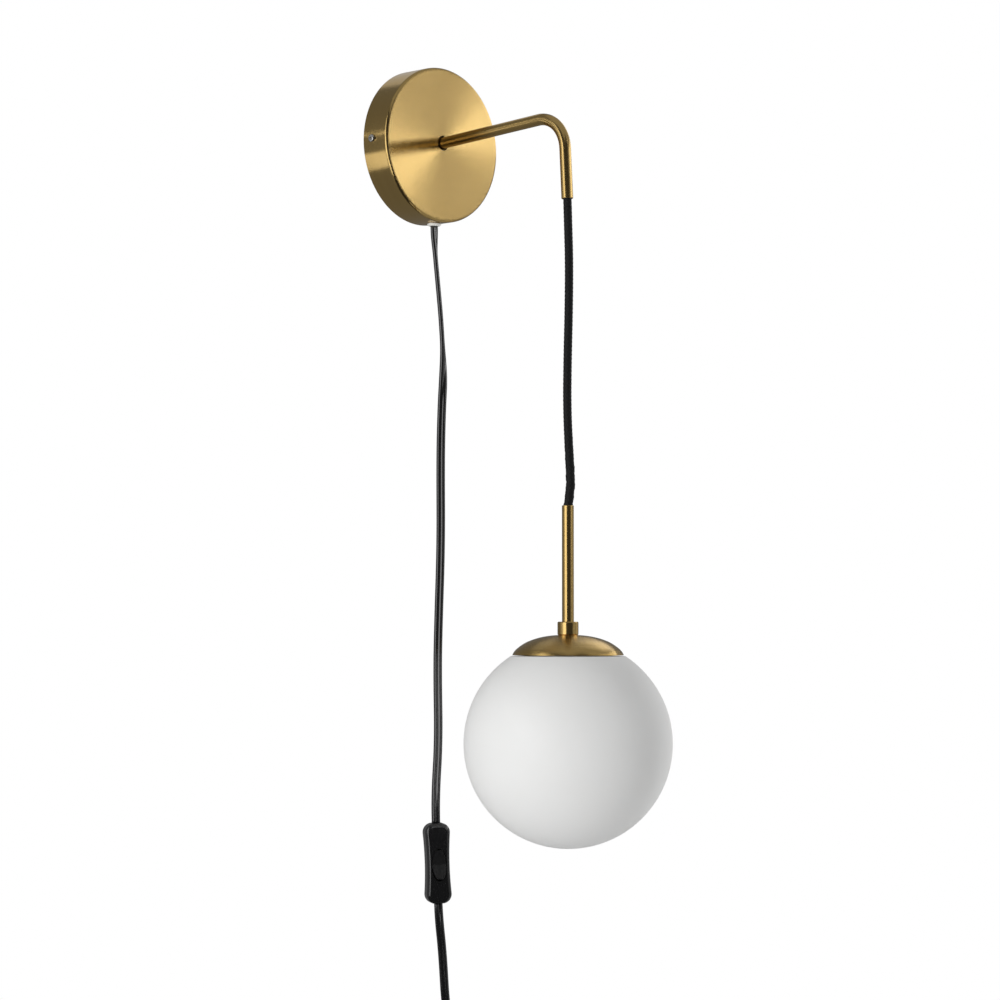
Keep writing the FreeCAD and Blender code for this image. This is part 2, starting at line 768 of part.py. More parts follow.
def cord_anchor():
    front = grommet_out - flat_thickness / 2 - running_gap
    block = box(Vector(-anchor_half, -front, anchor_low), Vector(anchor_half, -plate_thickness, anchor_high))
    for side in (-1, 1):
        at = Vector(side * 7.5, -front - 1, -45)
        block = block.cut(rod(1.5 + running_gap, at, at + Y * 9))
    return block


def anchor_bar():
    back = grommet_out + flat_thickness / 2 + running_gap
    bar = box(Vector(-anchor_half, -back - 2.2, anchor_low + 0.5), Vector(anchor_half, -back, anchor_high - 0.5))
    for side in (-1, 1):
        at = Vector(side * 7.5, -back + 1, -45)
        bar = bar.cut(rod(1.5 + running_gap, at, at + OUT * 5))
    return bar


def anchor_screws():
    seat = grommet_out + flat_thickness / 2 + running_gap + 2.2
    screws = []
    for side in (-1, 1):
        at = Vector(side * 7.5, -seat, -45)
        shank = rod(1.5, at, at + Y * 12)
        head = round_head(2.8, 1.9, 0.9, at, OUT)
        screws.append(shank.fuse(head).removeSplitter().cut(cross_slot(at + OUT * 1.9, OUT, X, 1.0, 2.8)))
    return screws


connector_face = -16.0
connector_depth = 14.0
connector_y = -8.0
connector_z = (-18.0, -30.0)


def wire_connectors():
    connectors = []
    for z in connector_z:
        body = box(Vector(connector_face - connector_depth, connector_y - 4, z - 4.5),
                   Vector(connector_face, connector_y + 4, z + 4.5))
        edges = [e for e in body.Edges if e.BoundBox.XLength > connector_depth * 0.9]
        body = body.makeFillet(1.0, edges)
        for port in (-2.2, 2.2):
            at = Vector(connector_face - 8, connector_y, z + port)
            body = body.cut(rod(core_dia / 2 + 0.1, at, at + X * 9))
        connectors.append(body)
    return connectors


def supply_cores():
    y = -grommet_out
    inside = connector_face - 7
    low = connector_z[1] - 2.2
    high = connector_z[0] - 2.2
    first = [Vector(-1.45, y, lead_top), Vector(-1.45, y, lead_top + 4.5), Vector(-7.0, connector_y, low),
             Vector(inside, connector_y, low)]
    second = [Vector(1.45, y, lead_top), Vector(1.45, y, lead_top + 5.0), Vector(-10.0, y + 1, lead_top + 7.0),
              Vector(-12.0, y + 3, high - 6), Vector(-12.0, connector_y, high), Vector(inside, connector_y, high)]
    return [wire_tube(first, core_dia / 2, 2.5), wire_tube(second, core_dia / 2, 2.0)]


def lamp_cores():
    start = arm_out * (arm_start - 1.1)
    inside = connector_face - 7
    cores = []
    for side, z, x_down in ((-1, connector_z[0] + 2.2, -12.6), (1, connector_z[1] + 2.2, -9.4)):
        begin = start + X * side * 1.35
        back = Vector(begin.x, -5.0, begin.z)
        points = [begin, back, Vector(x_down, -5.0, begin.z - 4.0 - 2.6 * (side + 1)),
                  Vector(x_down, connector_y, z), Vector(inside, connector_y, z)]
        cores.append(wire_tube(points, core_dia / 2, 1.5))
    return cores


# The flat lead hangs in its own plane, which leans back to the wall. Its pieces are made
# upright, with the grommet's outer face as origin, and then put in place together.
lead_place = Placement(Vector(0, -grommet_out, lead_exit - cord_end_gap), Rotation(X, lead_lean_deg))


def hung(shape):
    """Put a piece of the lead in its place."""
    shape = shape.copy()
    shape.Placement = lead_place.multiply(shape.Placement)
    return shape


def route(points):
    """Route points as places in the lead's own plane."""
    return [Vector(x, 0, -down) for x, down in points]


def flat_stretch(points, wide_out, name):
    """A hanging stretch of the flat lead; its wide side faces the room or stands out of the wall."""
    path, radii = rounded_path(points)
    along = (points[1] - points[0]).normalize()
    side = along.cross(Y)
    section = flat_section(points[0], Y, side) if wide_out else flat_section(points[0], side, Y)
    solid = swept(path, section, name, flat_area)
    print(name, "radii", " ".join("%.0f" % r for r in radii))
    return solid


upper_points = route(upper_route)
switch_top = upper_points[-1]
switch_axis = (upper_points[-1] - upper_points[-2]).normalize()
switch_bottom = switch_top + switch_axis * switch_length
lower_points = [switch_bottom, switch_bottom + switch_axis * lower_first_run] + route(lower_route)
switch_tilt = math.degrees(math.atan2(switch_axis.x, -switch_axis.z))
switch_place = Placement(switch_top, Rotation(Y, -switch_tilt).multiply(Rotation(Z, -switch_yaw_deg)))


def biarc(start, start_dir, end, end_dir):
    """Two arcs that join smoothly and run between two points with given directions."""
    chord = end - start
    both = start_dir + end_dir
    spread = 2 * (1 - start_dir.dot(end_dir))
    reach = chord.dot(both)
    length = chord.dot(chord) / (2 * reach) if spread < 1e-9 else (
        -reach + math.sqrt(reach ** 2 + spread * chord.dot(chord))) / spread
    join = (start + start_dir * length + end - end_dir * length) * 0.5
    arcs = []
    for a, b, direction in ((start, join, start_dir), (join, end, None)):
        line_ab = b - a
        if direction is None:
            direction = end_dir
            sign = -1
        else:
            sign = 1
        angle = direction.getAngle(line_ab)
        side = (direction - line_ab * (direction.dot(line_ab) / line_ab.dot(line_ab)))
        if side.Length < 1e-9:
            arcs.append(Part.LineSegment(a, b).toShape())
            continue
        side.normalize()
        middle = (a + b) * 0.5 + side * (sign * line_ab.Length / 2 * math.tan(angle / 2))
        arcs.append(Part.Arc(a, middle, b).toShape())
    return arcs


coil_turns = 2 * coil_turns_per_layer + coil_climb_turns
coil_turn_at = coil_turns_per_layer + coil_climb_turns / 2
coil_start_dir = (lower_points[-1] - lower_points[-2]).normalize()
coil_first = lower_points[-1] + coil_start_dir * coil_lead_in
coil_centre = coil_first - Vector(math.cos(math.radians(coil_start_deg)), 0,
                                  math.sin(math.radians(coil_start_deg))) * coil_radius


def coil_point(turns):
    """Middle line of the coil after a number of turns."""
    inward = min(turns, 2 * coil_turn_at - turns)
    radius = coil_radius - coil_pitch * inward
    climb = min(max((turns - coil_turns_per_layer) / coil_climb_turns, 0), 1)
    out = coil_layer_pitch * climb ** 2 * (3 - 2 * climb)
    angle = math.radians(coil_start_deg - 360 * turns)
    return coil_centre + Vector(radius * math.cos(angle), -out, radius * math.sin(angle))


def coil_direction(turns):
    """Direction of travel along the coil."""
    step = 1e-4
    if turns < step or turns > coil_turns - step:
        angle = math.radians(coil_start_deg - 360 * turns)
        return Vector(math.sin(angle), 0, -math.cos(angle))
    return (coil_point(turns + step) - coil_point(turns - step)).normalize()


def coil_path():
    """Straight lead-in, quarter-turn biarcs, and a straight tail that ends in the plug."""
    count = math.ceil(coil_turns * 4)
    stations = [coil_turns * i / count for i in range(count + 1)]
    edges = [Part.LineSegment(lower_points[-1], coil_first).toShape()]
    for a, b in zip(stations, stations[1:]):
        edges += biarc(coil_point(a), coil_direction(a), coil_point(b), coil_direction(b))
    tail_start = coil_point(coil_turns)
    edges.append(Part.LineSegment(tail_start, tail_start + coil_direction(coil_turns) * coil_tail).toShape())
    return Part.Wire(edges)


def coil_self_gap(path):
    """Least gap between turns, measured on points of the round ends and the middle of the section."""
    points = path.discretize(Distance=1.5)
    half_straight = (flat_width - flat_thickness) / 2
    offsets = [Y * half_straight * s for s in (-1, 0, 1)]
    least = 1e9
    skip = int(3 * coil_radius / 1.5)
    for i in range(len(points)):
        for j in range(i + skip, len(points)):
            apart = points[j] - points[i]
            if abs(apart.x) > 12 or abs(apart.z) > 12:
                continue
            for offset in offsets:
                least = min(least, (apart + offset * 2).Length, (apart + offset).Length)
    return least - flat_thickness


coil_wire = coil_path()
print("coil least self gap %.2f mm" % coil_self_gap(coil_wire))


def lead_coil():
    side = coil_start_dir.cross(Y)
    return swept(coil_wire, flat_section(lower_points[-1], Y, side), "coil", flat_area)


def coil_tie():
    """A strap round the turns, opposite the side where the lead comes in."""
    inner_radius = coil_radius - coil_pitch * coil_turn_at - flat_thickness / 2 - free_gap
    outer_radius = coil_radius + flat_thickness / 2 + free_gap
    half_wide = flat_width / 2 + free_gap
    low = Vector(inner_radius, -coil_layer_pitch - half_wide, -tie_width / 2)
    high = Vector(outer_radius, half_wide, tie_width / 2)
    grow = Vector(tie_thickness, tie_thickness, 0)
    band = box(low - grow, high + grow)
    corners = [e for e in band.Edges if e.BoundBox.ZLength > tie_width * 0.9]
    band = band.makeFillet(tie_thickness, corners)
    inner = box(low - Z, high + Z)
    band = band.cut(inner)
    band.Placement = Placement(coil_centre, Rotation(Y, -tie_angle_deg))
    return band


# In-line switch, made with its top entry as origin and its length down
def switch_outline(inset, y):
    """The switch's waisted outline at a depth, drawn in by a wall where asked."""
    half = switch_length / 2
    sag = (switch_end_width - switch_waist_width) / 2
    waist_radius = ((half - switch_corner_radius) ** 2 + sag ** 2) / (2 * sag)
    waist_x = switch_waist_width / 2 + waist_radius
    corner_x = waist_x - math.sqrt((waist_radius + switch_corner_radius) ** 2 - (half - switch_corner_radius) ** 2)
    share = waist_radius / (waist_radius + switch_corner_radius)
    join_x = waist_x + (corner_x - waist_x) * share
    join_z = (half - switch_corner_radius) * share
    lean = math.atan2(half - switch_corner_radius, waist_x - corner_x)
    small = switch_corner_radius - inset
    join_x -= inset * math.cos(lean)
    join_z += inset * math.sin(lean)
    mid_turn = (math.pi / 2 - lean) / 2

    def v(x, z):
        return Vector(x, y, z - half)

    edges = []
    for sx, sz in ((1, 1), (1, -1), (-1, -1), (-1, 1)):
        middle = v(sx * (corner_x + small * math.cos(mid_turn)),
                   sz * (half - switch_corner_radius + small * math.sin(mid_turn)))
        edges.append(Part.Arc(v(sx * corner_x, sz * (half - inset)), middle, v(sx * join_x, sz * join_z)).toShape())
    for sx in (1, -1):
        edges.append(Part.Arc(v(sx * join_x, join_z), v(sx * (switch_waist_width / 2 - inset), 0),
                              v(sx * join_x, -join_z)).toShape())
    for sz in (1, -1):
        edges.append(Part.LineSegment(v(-corner_x, sz * (half - inset)), v(corner_x, sz * (half - inset))).toShape())
    return Part.Wire(Part.sortEdges(edges)[0])


rocker_pivot = Vector(0, -rocker_axle_depth, -rocker_from_top)
half_switch = switch_thickness / 2
screw_places = [Vector(4.6, 0, -12.0), Vector(-4.6, 0, -switch_length + 10.0)]


def oval(width, length, y_from, y_to):
    """An oval prism through the switch's thickness, at the rocker's place."""
    ellipse = Part.Ellipse(Vector(0, y_from, -rocker_from_top + length / 2),
                           Vector(width / 2, y_from, -rocker_from_top), Vector(0, y_from, -rocker_from_top))
    return Part.Face(Part.Wire(ellipse.toShape())).extrude(Y * (y_to - y_from))


def switch_shell(front):
    """One half of the housing."""
    face_y = -half_switch if front else half_switch
    body = Part.Face(switch_outline(0, max(face_y, 0))).extrude(OUT * half_switch)
    face_edges = [e for e in body.Edges if abs(e.CenterOfMass.y - face_y) < 0.01]
    body = body.makeFillet(switch_edge_radius, face_edges)
    deep = half_switch - switch_shell_wall
    pocket = Part.Face(switch_outline(switch_shell_wall, 0 if front else deep)).extrude(OUT * deep)
    ends = box(Vector(-20, -20, -9.0), Vector(20, 20, 5)).fuse(
        box(Vector(-20, -20, -switch_length - 5), Vector(20, 20, -switch_length + 7.0)))
    pocket = pocket.cut(ends)
    kept = [rod(2.9, place + Y * -20, place + Y * 20) for place in screw_places]
    if front:
        half_well = rocker_opening_length / 2 + 1.5
        kept.append(box(Vector(-20, -20, -rocker_from_top - half_well), Vector(20, 20, -rocker_from_top + half_well)))
    tools = [pocket.cut(kept)]
    for place in screw_places:
        tools.append(rod(1.3, place + Y * (-half_switch + 2), place + Y * (half_switch + 1)))
        if not front:
            tools.append(rod(2.5, place + Y * (half_switch - 2.2), place + Y * (half_switch + 1)))
    body = body.cut(tools)
    if not front:
        return body
    opening = oval(rocker_opening_width, rocker_opening_length, -half_switch - 1, 1)
    body = body.cut(opening)
    reach = rocker_opening_width / 2 + rocker_axle_in_wall + running_gap
    return body.cut(rod(rocker_axle_dia / 2 + running_gap, rocker_pivot - X * reach, rocker_pivot + X * reach))


def switch_rocker():
    """The rocker, with its upper end pressed in."""
    width = rocker_opening_width - 2 * rocker_gap
    length = rocker_opening_length - 2 * rocker_gap
    top = half_switch + rocker_proud
    prism = oval(width, length, -top - 1, -1.6)
    swing = Part.makeCylinder(length / 2, width * 2, rocker_pivot - X * width, X)
    blank = prism.common(swing)
    lift = rocker_dish
    z_mid = -rocker_from_top
    cutter = Part.Face(Part.makePolygon([
        Vector(-width, -top - 6, z_mid + length), Vector(-width, -top, z_mid + length / 2),
        Vector(-width, -top + lift, z_mid), Vector(-width, -top, z_mid - length / 2),
        Vector(-width, -top - 6, z_mid - length), Vector(-width, -top - 6, z_mid + length),
    ])).extrude(X * width * 2)
    blank = blank.cut(cutter)
    axle_reach = rocker_opening_width / 2 + rocker_axle_in_wall - running_gap
    axle = rod(rocker_axle_dia / 2, rocker_pivot - X * axle_reach, rocker_pivot + X * axle_reach)
    rocker = blank.fuse(axle).removeSplitter()
    rocker.rotate(rocker_pivot, X, -rocker_throw_deg / 2)
    return rocker


def switch_screws():
    screws = []
    for place in screw_places:
        seat = place + Y * (half_switch - 2.2)
        head = rod(2.3, seat, seat + Y * 1.6)
        screws.append(head.fuse(rod(1.25, seat, place + Y * (-half_switch + 2.6))).removeSplitter())
    return screws


def switch_contacts():
    """Two brass blades on the floor of the back half, with a gap that the rocker's strip closes."""
    blades = []
    floor = half_switch - switch_shell_wall
    for side in (-1, 1):
        z_mid = -rocker_from_top
        base = box(Vector(-4.5, floor - 1.0, z_mid + side * 8.0 - 5.0), Vector(0.5, floor, z_mid + side * 8.0 + 5.0))
        post = box(Vector(-4.5, floor - 4.0, z_mid + side * 6.5 - 0.5), Vector(0.5, floor - 1.0, z_mid + side * 6.5 + 0.5))
        blades.append(base.fuse(post).removeSplitter())
    return blades


# Plug, made with the tail's end as origin and its length down
tail_end = coil_point(coil_turns) + coil_direction(coil_turns) * coil_tail
plug_place = Placement(tail_end, Rotation())


def plug_boot():
    a = boot_tip_dia / 2
    b = boot_base_dia / 2
    boot = turned([
        line((0, 0), (a - 0.6, 0)), line((a - 0.6, 0), (a, -0.6)), line((a, -0.6), (b, -boot_length)),
        line((b, -boot_length), (0, -boot_length)), line((0, -boot_length), (0, 0)),
    ])
    for i in range(5):
        z = -5.0 - 3.2 * i
        r_here = a + (b - a) * (-z / boot_length)
        boot = boot.cut(ring(r_here + 2, r_here - 0.9, Vector(0, 0, z), Vector(0, 0, z - 1.1)))
    return boot


def plug_body():
    top = -boot_length
    bottom = top - plug_length
    full = plug_width / 2
    neck = plug_neck_width / 2
    shoulder = bottom + plug_face_length
    t = plug_thickness / 2
    points = [(-neck, top), (neck, top), (full, shoulder), (full, bottom), (-full, bottom), (-full, shoulder)]
    loop = Part.makePolygon([Vector(x, t, z) for x, z in points + points[:1]])
    body = Part.Face(loop).extrude(OUT * plug_thickness)
    upright = [e for e in body.Edges if e.BoundBox.YLength > plug_thickness * 0.9 and e.BoundBox.ZMin > bottom + 1]
    body = body.makeFillet(plug_corner_radius, upright)
    rims = [e for e in body.Edges if e.BoundBox.YLength < 0.01 and e.BoundBox.ZMax > bottom + 1]
    body = body.makeFillet(plug_edge_radius, rims)
    for x in (-pin_spacing / 2, pin_spacing / 2):
        body = body.cut(rod(pin_root_dia / 2, Vector(x, 0, bottom + pin_in_body), Vector(x, 0, bottom - 1)))
    return body


def plug_pins():
    bottom = -boot_length - plug_length
    pins = []
    for x in (-pin_spacing / 2, pin_spacing / 2):
        pin = rod(pin_dia / 2, Vector(x, 0, bottom), Vector(x, 0, bottom - pin_length))
        tip = [e for e in pin.Edges if abs(e.BoundBox.ZMax - (bottom - pin_length)) < 0.01]
        root = rod(pin_root_dia / 2, Vector(x, 0, bottom + pin_in_body), Vector(x, 0, bottom))
        pins.append(pin.makeFillet(pin_dia / 2 * 0.8, tip).fuse(root))
    return pins


def in_switch(shape):
    """Put a piece of the switch in its place on the lead."""
    shapes = shape if isinstance(shape, list) else [shape]
    placed = []
    for one in shapes:
        one = one.copy()
        one.Placement = switch_place.multiply(one.Placement)
        placed.append(hung(one))
    return placed


def in_plug(shape):
    """Put a piece of the plug in its place at the end of the lead."""
    shapes = shape if isinstance(shape, list) else [shape]
    placed = []
    for one in shapes:
        one = one.copy()
        one.Placement = plug_place.multiply(one.Placement)
        placed.append(hung(one))
    return placed


save("canopy_cover", canopy_cover())
save("wall_plate", wall_plate())
save("canopy_side_screws", side_screws())
save("arm_bridge", arm_bridge())
save("bridge_rivets", bridge_rivets())
save("arm_tube", arm_tube())
save("arm_nuts", arm_nuts())
save("arm_washer", arm_washer())
save("arm_cable", arm_cable())
save("cord_grommet", cord_grommet())
save("cord_anchor", cord_anchor())
save("anchor_bar", anchor_bar())
save("anchor_screws", anchor_screws())
save("wire_connectors", wire_connectors())
save("supply_lead", supply_lead())
save("supply_cores", supply_cores())
save("lamp_cores", lamp_cores())

save("cord_bend", cord_bend())
save("pendant_cord", pendant_cord())
save("drop_rod", drop_rod())
save("rod_cable", rod_cable())
save("rod_collar", rod_collar())
save("holder_nipple", holder_nipple())
save("dome_cap", dome_cap())
save("nipple_nuts", nipple_nuts())
save("glass_carrier", glass_carrier())
save("cord_stop", cord_stop())
save("holder_cap", holder_cap())
save("holder_body", holder_body())
save("holder_insert", holder_insert())
save("screw_shell", screw_shell())
save("centre_contact", centre_contact())
save("holder_cores", holder_cores())
save("lamp_cap", lamp_cap())
save("lamp_bulb", lamp_bulb())
save("glass_globe", glass_globe())

save("power_cord_upper", hung(flat_stretch(upper_points, False, "upper stretch")))
save("power_cord_lower", hung(flat_stretch(lower_points, True, "lower stretch")))
save("power_cord_coil", hung(lead_coil()))
save("coil_tie", hung(coil_tie()))
save("switch_front", in_switch(switch_shell(True)))
save("switch_back", in_switch(switch_shell(False)))
save("switch_rocker", in_switch(switch_rocker()))
save("switch_screws", in_switch(switch_screws()))
save("switch_contacts", in_switch(switch_contacts()))
save("plug_boot", in_plug(plug_boot()))
save("plug_body", in_plug(plug_body()))
save("plug_pins", in_plug(plug_pins()))

print("mouth", mouth, "pivot", pivot, "globe centre", globe_centre, "rim", dome_rim)
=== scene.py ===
"""Looks of a plug-in wall light: brass canopy and arm, opal globe on a textile cord, flat black lead."""

import logging
import math
from dataclasses import dataclass, field
from enum import Enum
from typing import Callable

import bpy
from mathutils import Matrix, Vector


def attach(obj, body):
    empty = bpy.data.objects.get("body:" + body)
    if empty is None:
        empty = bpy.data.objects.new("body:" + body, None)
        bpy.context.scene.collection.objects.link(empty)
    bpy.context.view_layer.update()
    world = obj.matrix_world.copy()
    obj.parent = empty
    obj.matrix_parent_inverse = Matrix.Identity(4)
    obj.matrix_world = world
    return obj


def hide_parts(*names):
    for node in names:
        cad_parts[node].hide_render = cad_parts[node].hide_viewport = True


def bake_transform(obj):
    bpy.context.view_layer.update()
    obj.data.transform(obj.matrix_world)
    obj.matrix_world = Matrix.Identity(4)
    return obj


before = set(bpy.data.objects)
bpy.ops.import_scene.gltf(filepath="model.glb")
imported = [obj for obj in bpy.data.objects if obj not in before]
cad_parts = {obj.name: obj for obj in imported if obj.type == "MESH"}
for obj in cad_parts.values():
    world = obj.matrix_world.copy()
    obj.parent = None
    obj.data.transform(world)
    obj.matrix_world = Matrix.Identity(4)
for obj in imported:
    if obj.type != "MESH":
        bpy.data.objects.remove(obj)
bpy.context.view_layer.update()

log = logging.getLogger("wall_light")


class Grain(Enum):
    """Which way the brush marks of a metal piece run."""

    ROUND_WALL_AXIS = "rings about the canopy's axis"
    ROUND_PLUMB_LINE = "rings about the hanging axis"
    ALONG_ARM = "rings about the arm, then about its leg"


class Wire:
    """A socket of a node tree, with the sums that shader values need."""

    def __init__(self, bench: "Bench", socket: bpy.types.NodeSocket) -> None:
        """Keep the tree's bench and the socket."""
        self.bench = bench
        self.socket = socket

    def math(self, operation: str, *values: "Wire | float") -> "Wire":
        """Add a Math node.

        Args:
            operation: the node's operation.
            values: its inputs, in order.

        Returns:
            The node's result.
        """
        inputs = dict(enumerate(values))
        return self.bench.node("ShaderNodeMath", {"operation": operation}, inputs)

    def __add__(self, other: "Wire | float") -> "Wire":
        """Sum."""
        return self.math("ADD", self, other)

    def __radd__(self, other: float) -> "Wire":
        """Sum, number first."""
        return self.math("ADD", other, self)

    def __sub__(self, other: "Wire | float") -> "Wire":
        """Difference."""
        return self.math("SUBTRACT", self, other)

    def __rsub__(self, other: float) -> "Wire":
        """Difference, number first."""
        return self.math("SUBTRACT", other, self)

    def __mul__(self, other: "Wire | float") -> "Wire":
        """Product."""
        return self.math("MULTIPLY", self, other)

    def __rmul__(self, other: float) -> "Wire":
        """Product, number first."""
        return self.math("MULTIPLY", other, self)

    def __truediv__(self, other: "Wire | float") -> "Wire":
        """Quotient."""
        return self.math("DIVIDE", self, other)

    def __rtruediv__(self, other: float) -> "Wire":
        """Quotient, number first."""
        return self.math("DIVIDE", other, self)

    def power(self, exponent: float) -> "Wire":
        """Power."""
        return self.math("POWER", self, exponent)

    def sine(self) -> "Wire":
        """Sine of an angle in radians."""
        return self.math("SINE", self)

    def larger(self, other: "Wire | float") -> "Wire":
        """The larger of two values."""
        return self.math("MAXIMUM", self, other)

    def smaller(self, other: "Wire | float") -> "Wire":
        """The smaller of two values."""
        return self.math("MINIMUM", self, other)


class Bench:
    """Makes the nodes of one material or of the world."""

    def __init__(self, tree: bpy.types.NodeTree) -> None:
        """Empty the tree and keep it."""
        self.tree = tree
        tree.nodes.clear()

    def node(self, kind: str, settings: dict | None = None, inputs: dict | None = None,
             output: int | str = 0) -> Wire:
        """Add a node.

        Args:
            kind: the node's type.
            settings: properties, which are set first.
            inputs: socket name or index to a value or a Wire.
            output: which output to return.

        Returns:
            The output.
        """
        node = self.tree.nodes.new(kind)
        for key, value in (settings or {}).items():
            setattr(node, key, value)
        for key, value in (inputs or {}).items():
            if isinstance(value, Wire):
                self.tree.links.new(value.socket, node.inputs[key])
            else:
                node.inputs[key].default_value = value
        return Wire(self, node.outputs[output] if node.outputs else None)

    def place(self) -> Wire:
        """Return Object coordinates, in metres."""
        return self.node("ShaderNodeTexCoord", output="Object")

    def split(self, vector: Wire) -> tuple[Wire, Wire, Wire]:
        """Return the three parts of a vector."""
        parts = self.node("ShaderNodeSeparateXYZ", inputs={0: vector})
        return tuple(Wire(self, part) for part in parts.socket.node.outputs)

    def vector(self, x: Wire | float, y: Wire | float, z: Wire | float) -> Wire:
        """Join three values to a vector."""
        return self.node("ShaderNodeCombineXYZ", inputs={0: x, 1: y, 2: z})

    def noise(self, at: Wire, scale: float, detail: float = 2.0, roughness: float = 0.5) -> Wire:
        """Return smooth noise from 0 to 1 at a vector."""
        inputs = {"Vector": at, "Scale": scale, "Detail": detail, "Roughness": roughness}
        return self.node("ShaderNodeTexNoise", inputs=inputs)

    def colours(self, factor: Wire, first: tuple, second: tuple) -> Wire:
        """Mix two colours."""
        inputs = {0: factor, 6: (*first, 1.0), 7: (*second, 1.0)}
        return self.node("ShaderNodeMix", {"data_type": "RGBA"}, inputs, 2)

    def vectors(self, operation: str, *values: Wire) -> Wire:
        """Work out a vector from one or two others."""
        inputs = dict(enumerate(values))
        return self.node("ShaderNodeVectorMath", {"operation": operation}, inputs)

    def stretch(self, vector: Wire, amount: Wire) -> Wire:
        """Return a vector times a value."""
        inputs = {0: vector, "Scale": amount}
        return self.node("ShaderNodeVectorMath", {"operation": "SCALE"}, inputs)

    def to_world(self, direction: Wire) -> Wire:
        """Turn a direction of the object into the room's."""
        settings = {"vector_type": "VECTOR", "convert_from": "OBJECT", "convert_to": "WORLD"}
        return self.node("ShaderNodeVectorTransform", settings, {0: direction})

    def around(self, middle: float, *swings: tuple[Wire, float]) -> Wire:
        """Vary a value about its middle.

        Args:
            middle: the value in the middle.
            swings: noises from 0 to 1, each with how far it takes the value from low to high.

        Returns:
            The varied value.
        """
        lowest = middle - sum(swing for _, swing in swings) / 2
        return sum((noise * swing for noise, swing in swings), lowest)

    def bump(self, height: Wire, strength: float, distance: float) -> Wire:
        """Turn a height into a normal; the distance is in metres."""
        inputs = {"Height": height, "Strength": strength, "Distance": distance}
        return self.node("ShaderNodeBump", inputs=inputs)

    def surface(self, inputs: dict) -> None:
        """Finish the tree with a Principled shader."""
        shader = self.node("ShaderNodeBsdfPrincipled", inputs=inputs)
        self.node("ShaderNodeOutputMaterial", inputs={0: shader})


def new_material(name: str) -> tuple[bpy.types.Material, Bench]:
    """Make an empty material with nodes.

    Args:
        name: the material's name.

    Returns:
        The material and its bench.
    """
    material = bpy.data.materials.new(name)
    material.use_nodes = True
    return material, Bench(material.node_tree)


class Finish:
    """A finish that makes a material."""

    def surface(self, bench: Bench) -> dict:
        """Lay out the finish's own nodes.

        Args:
            bench: where the nodes go.

        Returns:
            The Principled shader's inputs.
        """
        raise NotImplementedError

    def material(self, name: str) -> bpy.types.Material:
        """Make the material.

        Args:
            name: the material's name.

        Returns:
            The material.
        """
        material, bench = new_material(name)
        bench.surface(self.surface(bench))
        return material


